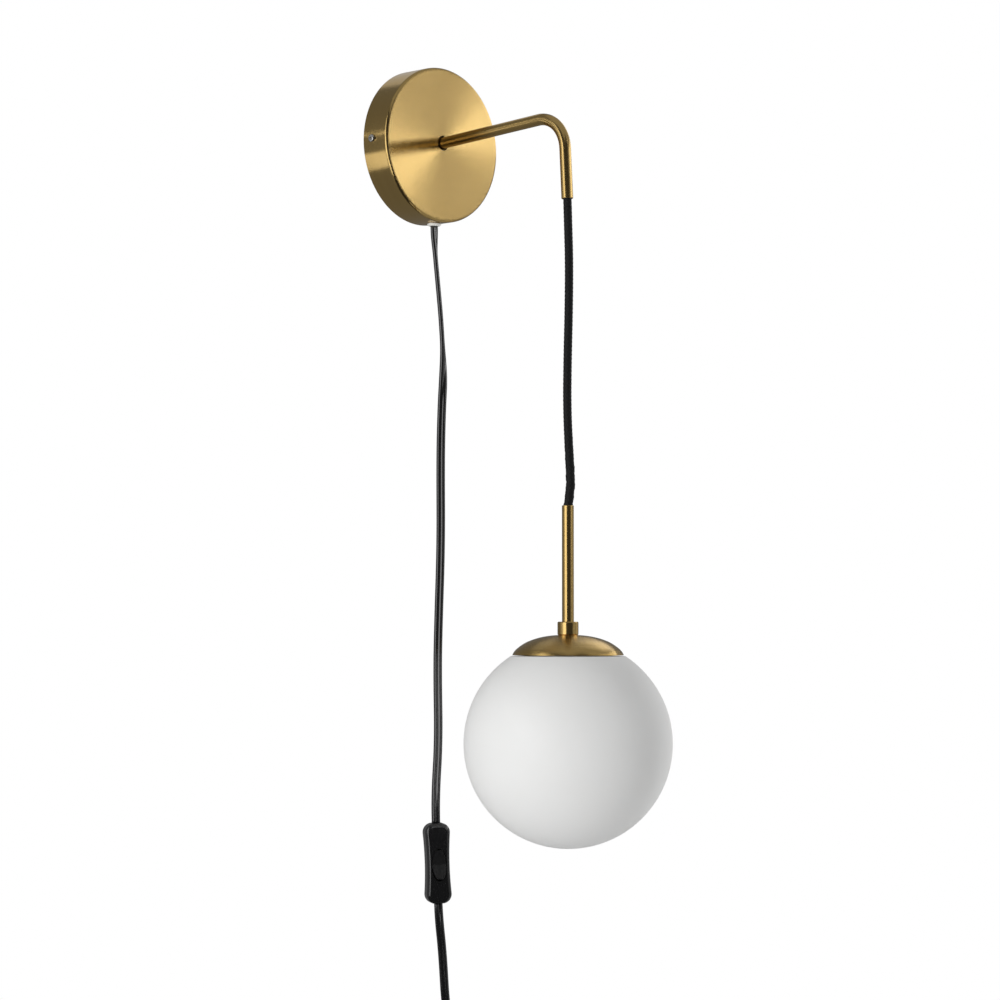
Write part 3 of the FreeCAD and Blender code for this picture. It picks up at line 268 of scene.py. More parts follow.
@dataclass(frozen=True)
class BrushedBrass(Finish):
    """Lacquered satin brass with fine brush marks in rings.

    The marks show as tone and gloss, in three sizes of noise, and as two sets of grooves that lean the
    surface to either side. Sizes are in metres, and counts are for each metre.
    """

    grain: Grain
    light: tuple = (0.77, 0.54, 0.21)
    dark: tuple = (0.63, 0.42, 0.14)
    roughness: float = 0.12
    lean: float = 0.14
    lacquer: float = 0.1
    lacquer_roughness: float = 0.12
    fine_marks: float = 2600.0
    fine_streak: float = 1.5
    broad_marks: float = 260.0
    broad_streak: float = 0.8
    patches: float = 38.0
    coarse_groove: float = 0.00034
    fine_groove: float = 0.00021
    face_from: float = 0.0238
    face_blend: float = 0.0005
    rim_lean: float = 0.2
    plumb_y: float = -0.15245
    dome_slope: float = 0.35
    bend_y: float = -0.13
    bend_z: float = -0.02
    arm_streak: tuple = (60.0, 8.0)
    least_reach: float = 0.0001

    def wall_rings(self, bench: Bench) -> tuple[Wire, Wire, Wire, Wire]:
        """Lay the marks round the canopy's axis.

        Args:
            bench: where the nodes go.

        Returns:
            The distance across the marks, two places along them, and the marks' direction.
        """
        x, y, z = bench.split(bench.place())
        reach = (x * x + z * z).power(0.5)
        distance = reach + self.least_reach
        return reach - y, x / distance, z / distance, bench.vector(z, 0.0, x * -1.0)

    def plumb_rings(self, bench: Bench) -> tuple[Wire, Wire, Wire, Wire]:
        """Lay the marks round the hanging axis.

        Args:
            bench: where the nodes go.

        Returns:
            The distance across the marks, two places along them, and the marks' direction.
        """
        x, y, z = bench.split(bench.place())
        aside = y - self.plumb_y
        reach = (x * x + aside * aside).power(0.5)
        distance = reach + self.least_reach
        across = reach * self.dome_slope - z
        return across, x / distance, aside / distance, bench.vector(aside * -1.0, x, 0.0)

    def arm_rings(self, bench: Bench) -> tuple[Wire, Wire, Wire, Wire]:
        """Lay the marks round the arm and its leg.

        Args:
            bench: where the nodes go.

        Returns:
            The distance across the marks, two places along them, and the direction across them.
        """
        x, y, z = bench.split(bench.place())
        back = (y - self.bend_y).smaller(0.0)
        up = (z - self.bend_z).larger(0.0)
        around, along = self.arm_streak
        return y + z, x * around, (y - z) * along, bench.vector(0.0, up * -1.0, back)

    def surface(self, bench: Bench) -> dict:
        """Lay the marks out as tone, gloss and leaning grooves.

        Args:
            bench: where the nodes go.

        Returns:
            The Principled shader's inputs.
        """
        normal = bench.node("ShaderNodeNewGeometry", output="Normal")
        lay = {Grain.ROUND_WALL_AXIS: self.wall_rings, Grain.ROUND_PLUMB_LINE: self.plumb_rings,
               Grain.ALONG_ARM: self.arm_rings}[self.grain]
        across, along_a, along_b, mark = lay(bench)
        aside = bench.to_world(mark)
        if self.grain is not Grain.ALONG_ARM:
            aside = bench.vectors("CROSS_PRODUCT", normal, aside)
        streak = self.fine_streak
        fine_at = bench.vector(across * self.fine_marks, along_a * streak, along_b * streak)
        fine = bench.noise(fine_at, 1.0, 3.0, 0.6)
        streak = self.broad_streak
        broad_at = bench.vector(across * self.broad_marks, along_a * streak, along_b * streak)
        broad = bench.noise(broad_at, 1.0)
        patches = bench.noise(bench.place(), self.patches, 3.0)
        tone = (fine * 0.50 + broad * 0.25 + patches * 0.25).larger(0.0).smaller(1.0)
        coarse = (across * (2.0 * math.pi / self.coarse_groove)).sine()
        close = (across * (2.0 * math.pi / self.fine_groove)).sine()
        tilt = (coarse * 0.4 + close * 0.6 + (broad - 0.5) * 0.25) * self.lean
        if self.grain is Grain.ROUND_WALL_AXIS:
            tilt = tilt * self.on_face(bench)
        leaning = bench.stretch(bench.vectors("NORMALIZE", aside), tilt)
        return {
            "Base Color": bench.colours(tone, self.dark, self.light),
            "Metallic": 1.0,
            "Roughness": bench.around(self.roughness, (fine, 0.04), (patches, 0.03)),
            "Coat Weight": self.lacquer,
            "Coat Roughness": self.lacquer_roughness,
            "Normal": bench.vectors("NORMALIZE", bench.vectors("ADD", normal, leaning)),
        }

    def on_face(self, bench: Bench) -> Wire:
        """Return how much the grooves lean: all on the canopy's face, little on its rim."""
        out = bench.split(bench.place())[1] * -1.0
        return ((out - self.face_from) / self.face_blend).larger(self.rim_lean).smaller(1.0)


@dataclass(frozen=True)
class PlatedSteel(Finish):
    """Zinc or nickel plated metal with a faint crystal pattern and fine scratches."""

    colour: tuple = (0.60, 0.61, 0.62)
    shade: tuple = (0.48, 0.49, 0.51)
    roughness: float = 0.34
    crystals: float = 420.0
    scratches: float = 4000.0
    scratch_runs: float = 300.0
    relief: float = 0.00002

    def surface(self, bench: Bench) -> dict:
        """Lay out the crystals and the scratches.

        Args:
            bench: where the nodes go.

        Returns:
            The Principled shader's inputs.
        """
        at = bench.place()
        cells = bench.node("ShaderNodeTexVoronoi", inputs={"Vector": at, "Scale": self.crystals})
        x, y, z = bench.split(at)
        runs = bench.vector(x * self.scratches, y * self.scratch_runs, z * self.scratch_runs)
        scratches = bench.noise(runs, 1.0)
        mark = (cells * 0.7 + scratches * 0.3).smaller(1.0)
        return {
            "Base Color": bench.colours(mark, self.shade, self.colour),
            "Metallic": 1.0,
            "Roughness": bench.around(self.roughness, (mark, 0.12)),
            "Normal": bench.bump(scratches, 0.5, self.relief),
        }


@dataclass(frozen=True)
class MouldedPlastic(Finish):
    """Moulded plastic or rubber with a fine spark-eroded grain, faint flow marks and rubbed gloss."""

    colour: tuple
    shade: tuple
    roughness: float = 0.35
    grain: float = 2400.0
    flow: float = 55.0
    relief: float = 0.00003
    coat: float = 0.0
    coat_roughness: float = 0.12

    def surface(self, bench: Bench) -> dict:
        """Lay out the grain and the flow marks.

        Args:
            bench: where the nodes go.

        Returns:
            The Principled shader's inputs.
        """
        at = bench.place()
        fine = bench.noise(at, self.grain)
        flow = bench.noise(at, self.flow, 3.0)
        return {
            "Base Color": bench.colours(flow, self.shade, self.colour),
            "Roughness": bench.around(self.roughness, (fine, 0.08), (flow, 0.10)),
            "Coat Weight": self.coat,
            "Coat Roughness": self.coat_roughness,
            "Normal": bench.bump(fine, 0.6, self.relief),
        }


@dataclass(frozen=True)
class OpalGlass(Finish):
    """Acid-matt opal glass: milky body, silky surface, faint clouds in the melt."""

    milk: tuple = (0.82, 0.82, 0.81)
    cloud: tuple = (0.78, 0.78, 0.77)
    clouds: float = 14.0
    etch: float = 5200.0
    roughness: float = 0.52
    depth: float = 0.006
    relief: float = 0.00002

    def surface(self, bench: Bench) -> dict:
        """Lay out the clouds and the etched skin.

        Args:
            bench: where the nodes go.

        Returns:
            The Principled shader's inputs.
        """
        at = bench.place()
        clouds = bench.noise(at, self.clouds, 3.0)
        etch = bench.noise(at, self.etch)
        return {
            "Base Color": bench.colours(clouds, self.cloud, self.milk),
            "Roughness": bench.around(self.roughness, (etch, 0.10)),
            "Subsurface Weight": 0.25,
            "Subsurface Scale": self.depth,
            "Subsurface Radius": (1.0, 0.95, 0.9),
            "Normal": bench.bump(etch, 0.25, self.relief),
        }


@dataclass(frozen=True)
class LampGlass(Finish):
    """Frosted lamp glass."""

    tint: tuple = (0.92, 0.92, 0.90)
    frost_tint: tuple = (0.86, 0.86, 0.85)
    frost: float = 3000.0
    roughness: float = 0.425
    relief: float = 0.00002

    def surface(self, bench: Bench) -> dict:
        """Lay out the frost.

        Args:
            bench: where the nodes go.

        Returns:
            The Principled shader's inputs.
        """
        frost = bench.noise(bench.place(), self.frost)
        return {
            "Base Color": bench.colours(frost, self.tint, self.frost_tint),
            "Roughness": bench.around(self.roughness, (frost, 0.15)),
            "Transmission Weight": 0.35,
            "IOR": 1.5,
            "Normal": bench.bump(frost, 0.3, self.relief),
        }


@dataclass(frozen=True)
class BraidedTextile(Finish):
    """Matt black braid: the threads' fibres follow the piece's own map, u round it and v along it. Its colour
    holds painted shade: the dips between the threads are painted darker.
    """

    colour: tuple = (0.0125, 0.0128, 0.0132)
    # The shade colour is painted shade for the dips between threads, mixed with random fibre tone.
    shade: tuple = (0.0030, 0.0031, 0.0033)
    fibres: float = 9.0
    fuzz: float = 3500.0
    relief: float = 0.00008

    def surface(self, bench: Bench) -> dict:
        """Lay the fibres out on the threads, with painted shade in the dips between them.

        Args:
            bench: where the nodes go.

        Returns:
            The Principled shader's inputs.
        """
        u, v, _ = bench.split(bench.node("ShaderNodeUVMap", {"uv_map": "braid"}))
        turn = 2.0 * math.pi * self.fibres
        first = ((u + v) * turn).sine()
        second = ((u - v) * turn).sine()
        # The thread height from the mesh paints shade into the dips between the threads.
        depth = bench.node("ShaderNodeAttribute", {"attribute_name": "relief"}, output="Fac")
        fuzz = bench.noise(bench.place(), self.fuzz, 3.0)
        thread = (first + second) * 0.25 + 0.5
        # Tone: mostly painted shade from the thread height, with the weave and random fuzz.
        tone = (depth * 0.6 + thread * 0.2 + fuzz * 0.2).smaller(1.0)
        return {
            "Base Color": bench.colours(tone, self.shade, self.colour),
            "Roughness": 0.50,
            "Specular IOR Level": 0.22,
            "Normal": bench.bump(thread * 0.6 + fuzz * 0.4, 0.7, self.relief),
        }


@dataclass(frozen=True)
class SoftVinyl(Finish):
    """Glossy black lead sheath with drawing lines along it, from its own map."""

    colour: tuple = (0.0065, 0.0065, 0.0070)
    shade: tuple = (0.0040, 0.0040, 0.0045)
    roughness: float = 0.18
    drawing_lines: float = 60.0
    dull_patches: float = 90.0
    relief: float = 0.00003

    def surface(self, bench: Bench) -> dict:
        """Lay out the drawing lines and the dull patches.

        Args:
            bench: where the nodes go.

        Returns:
            The Principled shader's inputs.
        """
        u, v, _ = bench.split(bench.node("ShaderNodeUVMap", {"uv_map": "sheath"}))
        drawn = bench.noise(bench.vector(u * self.drawing_lines, v * 2.0, 0.0), 1.0)
        dull = bench.noise(bench.place(), self.dull_patches, 3.0)
        return {
            "Base Color": bench.colours(dull, self.shade, self.colour),
            "Roughness": bench.around(self.roughness, (drawn, 0.08), (dull, 0.12)),
            "Specular IOR Level": 0.9,
            "Coat Weight": 1.0,
            "Coat Roughness": 0.10,
            "Normal": bench.bump(drawn, 0.4, self.relief),
        }


def dress(material: bpy.types.Material, *names: str) -> None:
    """Give CAD nodes a material, in every slot that they have.

    Args:
        material: the finish.
        names: the nodes.
    """
    for name in names:
        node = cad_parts[name]
        if not node.material_slots:
            node.data.materials.append(material)
        for holder in node.material_slots:
            holder.material = material
        log.info("%s: %s", name, material.name)


def route_line(name: str, points: list[Vector]) -> list[Vector]:
    """Draw a smooth line through the air.

    Args:
        name: name for the construction curve.
        points: control points.

    Returns:
        Points of the smooth line, in order.
    """
    data = bpy.data.curves.new(name, "CURVE")
    data.dimensions = "3D"
    data.resolution_u = 16
    spline = data.splines.new("NURBS")
    spline.points.add(len(points) - 1)
    for point, place in zip(spline.points, points):
        point.co = (*place, 1.0)
    spline.order_u = 3
    spline.use_endpoint_u = True
    line = bpy.data.objects.new(name, data)
    bpy.context.scene.collection.objects.link(line)
    bpy.context.view_layer.update()
    mesh = bpy.data.meshes.new_from_object(line.evaluated_get(bpy.context.evaluated_depsgraph_get()))
    places = [vertex.co.copy() for vertex in mesh.vertices]
    bpy.data.meshes.remove(mesh)
    bpy.data.objects.remove(line)
    bpy.data.curves.remove(data)
    return places


def evenly(places: list[Vector], step: float) -> list[Vector]:
    """Space the points of a smooth line evenly.

    Args:
        places: points in order.
        step: wanted distance between points.

    Returns:
        The new points, the first and last unchanged.
    """
    reach = [0.0]
    for a, b in zip(places, places[1:]):
        reach.append(reach[-1] + (b - a).length)
    count = max(2, round(reach[-1] / step))
    spaced = []
    index = 0
    for i in range(count + 1):
        wanted = reach[-1] * i / count
        while index < len(places) - 2 and reach[index + 1] < wanted:
            index += 1
        share = (wanted - reach[index]) / max(reach[index + 1] - reach[index], 1e-9)
        spaced.append(places[index].lerp(places[index + 1], min(max(share, 0.0), 1.0)))
    return spaced


@dataclass
class Ring:
    """One cross section of a cord: its middle, its two directions, and how far along it is."""

    middle: Vector
    wide: Vector
    thin: Vector
    along: float


def rings_along(places: list[Vector], wide_at: Callable[[float, Vector], Vector]) -> list[Ring]:
    """Stand cross sections along a line.

    Args:
        places: points of the line.
        wide_at: gives the section's wide direction from the distance and the place.

    Returns:
        One ring for each point.
    """
    rings = []
    along = 0.0
    for i, place in enumerate(places):
        before = places[max(i - 1, 0)]
        after = places[min(i + 1, len(places) - 1)]
        tangent = (after - before).normalized()
        if i:
            along += (place - places[i - 1]).length
        wide = wide_at(along, place)
        wide = (wide - tangent * wide.dot(tangent)).normalized()
        rings.append(Ring(place, wide, tangent.cross(wide), along))
    return rings


def tube(name: str, rings: list[Ring], outline: Callable[[float, float], tuple], steps: int,
         uv_name: str, uv_scale: tuple[float, float]) -> bpy.types.Object:
    """Skin rings with a closed tube.

    Args:
        name: the piece's name.
        rings: cross sections in order.
        outline: gives (wide, thin, relief) for a turn from 0 to 1 and the distance along.
        steps: points round the tube.
        uv_name: name of the tube's map.
        uv_scale: the map's size round it and for each metre along it.

    Returns:
        The piece, at the origin.
    """
    vertices = []
    reliefs = []
    for ring in rings:
        for j in range(steps):
            wide, thin, relief = outline(j / steps, ring.along)
            vertices.append(ring.middle + ring.wide * wide + ring.thin * thin)
            reliefs.append(relief)
    faces = []
    maps = []
    for i in range(len(rings) - 1):
        low, high = rings[i].along * uv_scale[1], rings[i + 1].along * uv_scale[1]
        for j in range(steps):
            k = (j + 1) % steps
            faces.append((i * steps + j, i * steps + k, (i + 1) * steps + k, (i + 1) * steps + j))
            left, right = uv_scale[0] * j / steps, uv_scale[0] * (j + 1) / steps
            maps += [(left, low), (right, low), (right, high), (left, high)]
    for base, ring, flip in ((0, rings[0], True), ((len(rings) - 1) * steps, rings[-1], False)):
        centre = len(vertices)
        vertices.append(ring.middle.copy())
        reliefs.append(0.5)
        for j in range(steps):
            k = (j + 1) % steps
            faces.append((base + k, base + j, centre) if flip else (base + j, base + k, centre))
            maps += [(0.0, 0.0), (0.1, 0.0), (0.0, 0.1)]
    mesh = bpy.data.meshes.new(name)
    mesh.from_pydata(vertices, [], faces)
    layer = mesh.uv_layers.new(name=uv_name)
    for corner, place in zip(layer.data, maps):
        corner.uv = place
    # The relief attribute holds each point's thread height; the braid's material turns it into painted shade
    # in the dips.
    attribute = mesh.attributes.new("relief", "FLOAT", "POINT")
    attribute.data.foreach_set("value", reliefs)
    mesh.shade_smooth()
    piece = bpy.data.objects.new(name, mesh)
    bpy.context.scene.collection.objects.link(piece)
    return piece


@dataclass(frozen=True)
class Lamp:
    """A soft rectangular lamp: its place, what it points to, its width and height, its watts."""

    name: str
    at: tuple
    target: tuple
    size: tuple
    power: float


@dataclass(frozen=True)
class Card:
    """A card that only mirrors show: its place, what it faces, its width and height, its grey, its turn."""

    name: str
    at: tuple
    target: tuple
    size: tuple
    shade: float
    roll_deg: float = 0.0


@dataclass
class Studio:
    """Camera, pale floor, lamps and the cards that the metal mirrors."""

    camera_at: tuple = (-1.51354, -1.56652, -0.35602)
    camera_looks: tuple = (0.71390, 0.69900, 0.04155)
    lens: float = 104.4
    sensor: float = 36.0
    nearest: float = 0.05
    farthest: float = 50.0
    floor_z: float = -0.86
    floor_radius: float = 1.1
    floor_sides: int = 128
    floor_greys: tuple = ((0.86, 0.86, 0.86), (0.89, 0.89, 0.89))
    floor_speckle: float = 30.0
    ambient: float = 0.51
    lamps: tuple = (
        Lamp("key_left", (-2.3, -0.35, -0.35), (0.0, -0.1, -0.4), (1.4, 1.8), 32.0),
        Lamp("rim_right", (1.9, -0.15, -0.40), (0.0, -0.15, -0.44), (0.5, 1.2), 24.0),
    )
    cards: tuple = (
        Card("card_wall", (0.10, 0.32, -0.25), (0.10, 0.0, -0.25), (3.70, 2.40), 0.15),
        Card("card_left_room", (-1.10, 0.30, -0.45), (-1.10, 0.0, -0.45), (1.30, 1.60), 0.38),
        Card("card_left_far", (-2.20, -0.30, -0.10), (0.0, -0.30, -0.10), (1.90, 3.60), 0.15),
        Card("card_left_bright", (-0.96, 0.104, 0.034), (0.0, -0.026, -0.056), (0.58, 1.35), 1.50, -45.0),
        Card("card_left_dark", (-0.96, -0.47, 0.36), (0.0, -0.15, 0.25), (0.70, 1.70), 0.04, -45.0),
        Card("card_ceiling", (0.0, -0.80, 1.60), (0.0, -0.80, 0.0), (5.0, 4.0), 0.30),
        Card("card_front_dark", (-1.26, -2.42, -0.20), (0.0, -0.15, -0.20), (4.20, 3.40), 0.045),
        Card("card_front_right", (1.35, -3.10, -0.10), (1.35, 0.0, -0.10), (2.00, 3.60), 0.27),
        Card("card_right", (2.30, -1.45, -0.10), (0.0, -1.45, -0.10), (3.60, 3.60), 0.21),
        Card("card_right_low", (2.22, -1.20, -0.45), (0.0, -1.20, -0.45), (1.60, 0.50), 0.45),
        Card("card_right_bright", (1.67, -1.22, 0.41), (0.0, -0.03, 0.0), (3.00, 0.45), 1.65, -13.0),
        Card("card_floor", (0.825, -0.90, -0.85), (0.825, -0.90, 0.0), (1.35, 3.00), 0.30),
        Card("card_floor_dark", (-0.775, -0.90, -0.85), (-0.775, -0.90, 0.0), (1.85, 3.00), 0.03),
        Card("card_switch_glow", (-1.00, -0.35, -0.60), (0.0, -0.02, -0.53), (0.40, 0.46), 2.00),
        Card("card_ceiling_dark", (-0.50, -2.35, 1.55), (-0.50, -2.35, 0.0), (1.20, 1.20), 0.04),
        Card("card_arm_line", (-0.410, 0.256, 0.112), (-0.025, -0.134, 0.0), (0.131, 0.030), 1.50),
        Card("card_rim_glow", (-0.133, 0.06, -0.043), (-0.057, -0.012, -0.01), (0.05, 0.045), 0.95),
        Card("card_dome_left", (0.20, 0.31, 0.29), (0.20, 0.0, 0.29), (0.34, 0.44), 0.46),
        Card("card_dome_glow", (0.73, 0.10, 0.27), (0.0, -0.15, -0.38), (0.50, 0.40), 1.20),
    )

    def place_camera(self) -> None:
        """Stand the camera at the photograph's place."""
        data = bpy.data.cameras.new("camera")
        data.lens = self.lens
        data.sensor_width = self.sensor
        data.clip_start = self.nearest
        data.clip_end = self.farthest
        camera = bpy.data.objects.new("camera", data)
        camera.location = self.camera_at
        camera.rotation_mode = "QUATERNION"
        camera.rotation_quaternion = Vector(self.camera_looks).to_track_quat("-Z", "Y")
        bpy.context.scene.collection.objects.link(camera)
        bpy.context.scene.camera = camera

    def light_world(self) -> None:
        """White to look at and to mirror, plain grey as a lamp."""
        world = bpy.data.worlds.new("studio")
        bpy.context.scene.world = world
        world.use_nodes = True
        bench = Bench(world.node_tree)
        outputs = bench.node("ShaderNodeLightPath").socket.node.outputs
        seen = Wire(bench, outputs["Is Camera Ray"])
        mirrored = Wire(bench, outputs["Is Glossy Ray"])
        through = Wire(bench, outputs["Is Transmission Ray"])
        white = seen.larger(mirrored).larger(through)
        inputs = {"Color": (1.0, 1.0, 1.0, 1.0), "Strength": white * (1.0 - self.ambient) + self.ambient}
        glow = bench.node("ShaderNodeBackground", inputs=inputs)
        bench.node("ShaderNodeOutputWorld", inputs={0: glow})
        bpy.context.scene.view_settings.view_transform = "Standard"

    def lay_floor(self) -> None:
        """Lay a round pale floor below the light."""
        bpy.ops.object.select_all(action="DESELECT")
        bpy.ops.mesh.primitive_circle_add(vertices=self.floor_sides, radius=self.floor_radius,
                                          fill_type="NGON", location=(0.0, 0.0, self.floor_z))
        floor = bpy.context.object
        floor.name = "floor"
        material, bench = new_material("pale_floor")
        speck = bench.noise(bench.place(), self.floor_speckle)
        bench.surface({"Base Color": bench.colours(speck, *self.floor_greys), "Roughness": 0.8})
        floor.data.materials.append(material)

    def hang(self, lamp: Lamp) -> None:
        """Hang a lamp up; no mirror shows it.

        Args:
            lamp: the lamp.
        """
        data = bpy.data.lights.new(lamp.name, "AREA")
        data.shape = "RECTANGLE"
        data.size, data.size_y = lamp.size
        data.energy = lamp.power
        light = bpy.data.objects.new(lamp.name, data)
        light.location = lamp.at
        light.rotation_mode = "QUATERNION"
        light.rotation_quaternion = (Vector(lamp.target) - Vector(lamp.at)).to_track_quat("-Z", "Y")
        light.visible_glossy = False
        bpy.context.scene.collection.objects.link(light)

    def stand(self, card: Card) -> None:
        """Stand a card up; neither the camera nor the lamps know of it.

        Args:
            card: the card.
        """
        bpy.ops.object.select_all(action="DESELECT")
        bpy.ops.mesh.primitive_plane_add(size=1.0)
        piece = bpy.context.object
        piece.name = card.name
        turn = (Vector(card.target) - Vector(card.at)).to_track_quat("Z", "Y").to_matrix().to_4x4()
        roll = Matrix.Rotation(math.radians(card.roll_deg), 4, "Z")
        size = Matrix.Diagonal((card.size[0], card.size[1], 1.0, 1.0))
        piece.data.transform(Matrix.Translation(card.at) @ turn @ roll @ size)
        piece.visible_camera = False
        piece.visible_diffuse = False
        piece.visible_shadow = False
        piece.visible_transmission = False
        material, bench = new_material(card.name)
        grey = (card.shade, card.shade, card.shade, 1.0)
        glow = bench.node("ShaderNodeEmission", inputs={"Color": grey, "Strength": 1.0})
        bench.node("ShaderNodeOutputMaterial", inputs={0: glow})
        piece.data.materials.append(material)

    def build(self) -> None:
        """Set the studio up."""
        self.place_camera()
        self.light_world()
        self.lay_floor()
        for lamp in self.lamps:
            self.hang(lamp)
        for card in self.cards:
            self.stand(card)


@dataclass
class GlobeCord:
    """Braided textile cord from the arm's mouth to the drop rod, in two pieces that share one line.

    Its sway pairs a height from the mouth with how far the cord hangs to the right, in metres.
    """

    mouth: Vector = field(default_factory=lambda: Vector((0.0, -0.15222, -0.05339)))
    pivot: Vector = field(default_factory=lambda: Vector((0.0, -0.15245, -0.05758)))
    photo_right: Vector = field(default_factory=lambda: Vector((0.6988, -0.7141, 0.0)))
    sway: tuple = (
        (0.0135, 0.0), (0.0, 0.0), (-0.0042, 0.0), (-0.0200, 0.0004), (-0.0450, 0.0011), (-0.0800, 0.0008),
        (-0.1150, -0.0001), (-0.1500, -0.0005), (-0.1800, 0.0008), (-0.2010, 0.0020), (-0.2110, 0.0016),
        (-0.2204, 0.0), (-0.2290, 0.0))
    diameter: float = 0.0061
    length: float = 0.2204
    bend_above: float = 0.004
    bend_below: float = 0.002
    turn_below: float = 0.018
    seam_overlap: float = 0.0002
    lower_along: float = 0.0155
    strands: int = 8
    cell: float = 0.0030
    steps: int = 48
    ring_step: float = 0.00048
    thread_sink: float = 0.00016
    thread_rise: float = 0.00022
    thread_dip: float = 0.45
    slack_from: float = 0.172
    slack_length: float = 0.040
    slack_swell: float = 0.00022
    slack_waves: tuple = ((560.0, 1, 0.0), (910.0, -2, 1.0))

    def outline(self, turn: float, along: float) -> tuple[float, float, float]:
        """Shape the braid's section: threads cross over each other, looser near the rod.

        Args:
            turn: how far round, from 0 to 1.
            along: how far along, in metres.

        Returns:
            The point's two places in the section, and how high its thread stands, which the braid's material
            also turns into painted shade in the dips.
        """
        a = self.strands * turn + along / self.cell
        b = self.strands * turn - along / self.cell
        fa, fb = a % 1.0, b % 1.0
        over, under = (fa, fb) if (math.floor(a) + math.floor(b)) % 2 == 0 else (fb, fa)
        dip = self.thread_dip * (1.0 - math.sin(math.pi * under))
        height = math.sin(math.pi * over) * (1.0 - dip)
        angle = 2 * math.pi * turn
        slack = min(max((along - self.slack_from) / self.slack_length, 0.0), 1.0)
        waves = sum(math.sin(along * rate + turns * angle + start) for rate, turns, start in self.slack_waves)
        swell = slack * self.slack_swell * (1.0 + 0.5 * waves)
        radius = self.diameter / 2 - self.thread_sink + self.thread_rise * height + swell
        return radius * math.cos(angle), radius * math.sin(angle), height

    def line(self) -> list[Vector]:
        """Draw the cord's smooth line, with the slight sway that it hangs with.

        Returns:
            Its points, evenly spaced.
        """
        points = []
        for drop, aside in self.sway:
            above = self.mouth if drop >= 0 else self.pivot
            points.append(Vector((above.x, above.y, self.mouth.z + drop)) + self.photo_right * aside)
        return evenly(route_line("globe_cord_line", points), self.ring_step)

    def build(self) -> None:
        """Make the two pieces and dress them."""
        line = self.line()
        split = self.pivot.z - self.bend_below
        upper = [place for place in line if place.z >= split]
        lower = [place for place in line if place.z <= split + self.seam_overlap]
        material = BraidedTextile().material("braided_textile")
        pieces = []
        for name, part, start in (("globe_cord_bend", upper, 0.0), ("globe_cord", lower, self.lower_along)):
            rings = rings_along(part, lambda along, place: Vector((1.0, 0.0, 0.0)))
            for ring in rings:
                ring.along += start
            piece = tube(name, rings, self.outline, self.steps, "braid", (self.strands, 1.0 / self.cell))
            piece.data.materials.append(material)
            log.info("%s: %d faces", name, len(piece.data.polygons))
            pieces.append(piece)
        bend, cord = pieces
        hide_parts("cord_bend")
        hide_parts("pendant_cord")
        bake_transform(bend)
        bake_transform(cord)
        dress(material, "arm_cable", "rod_cable")


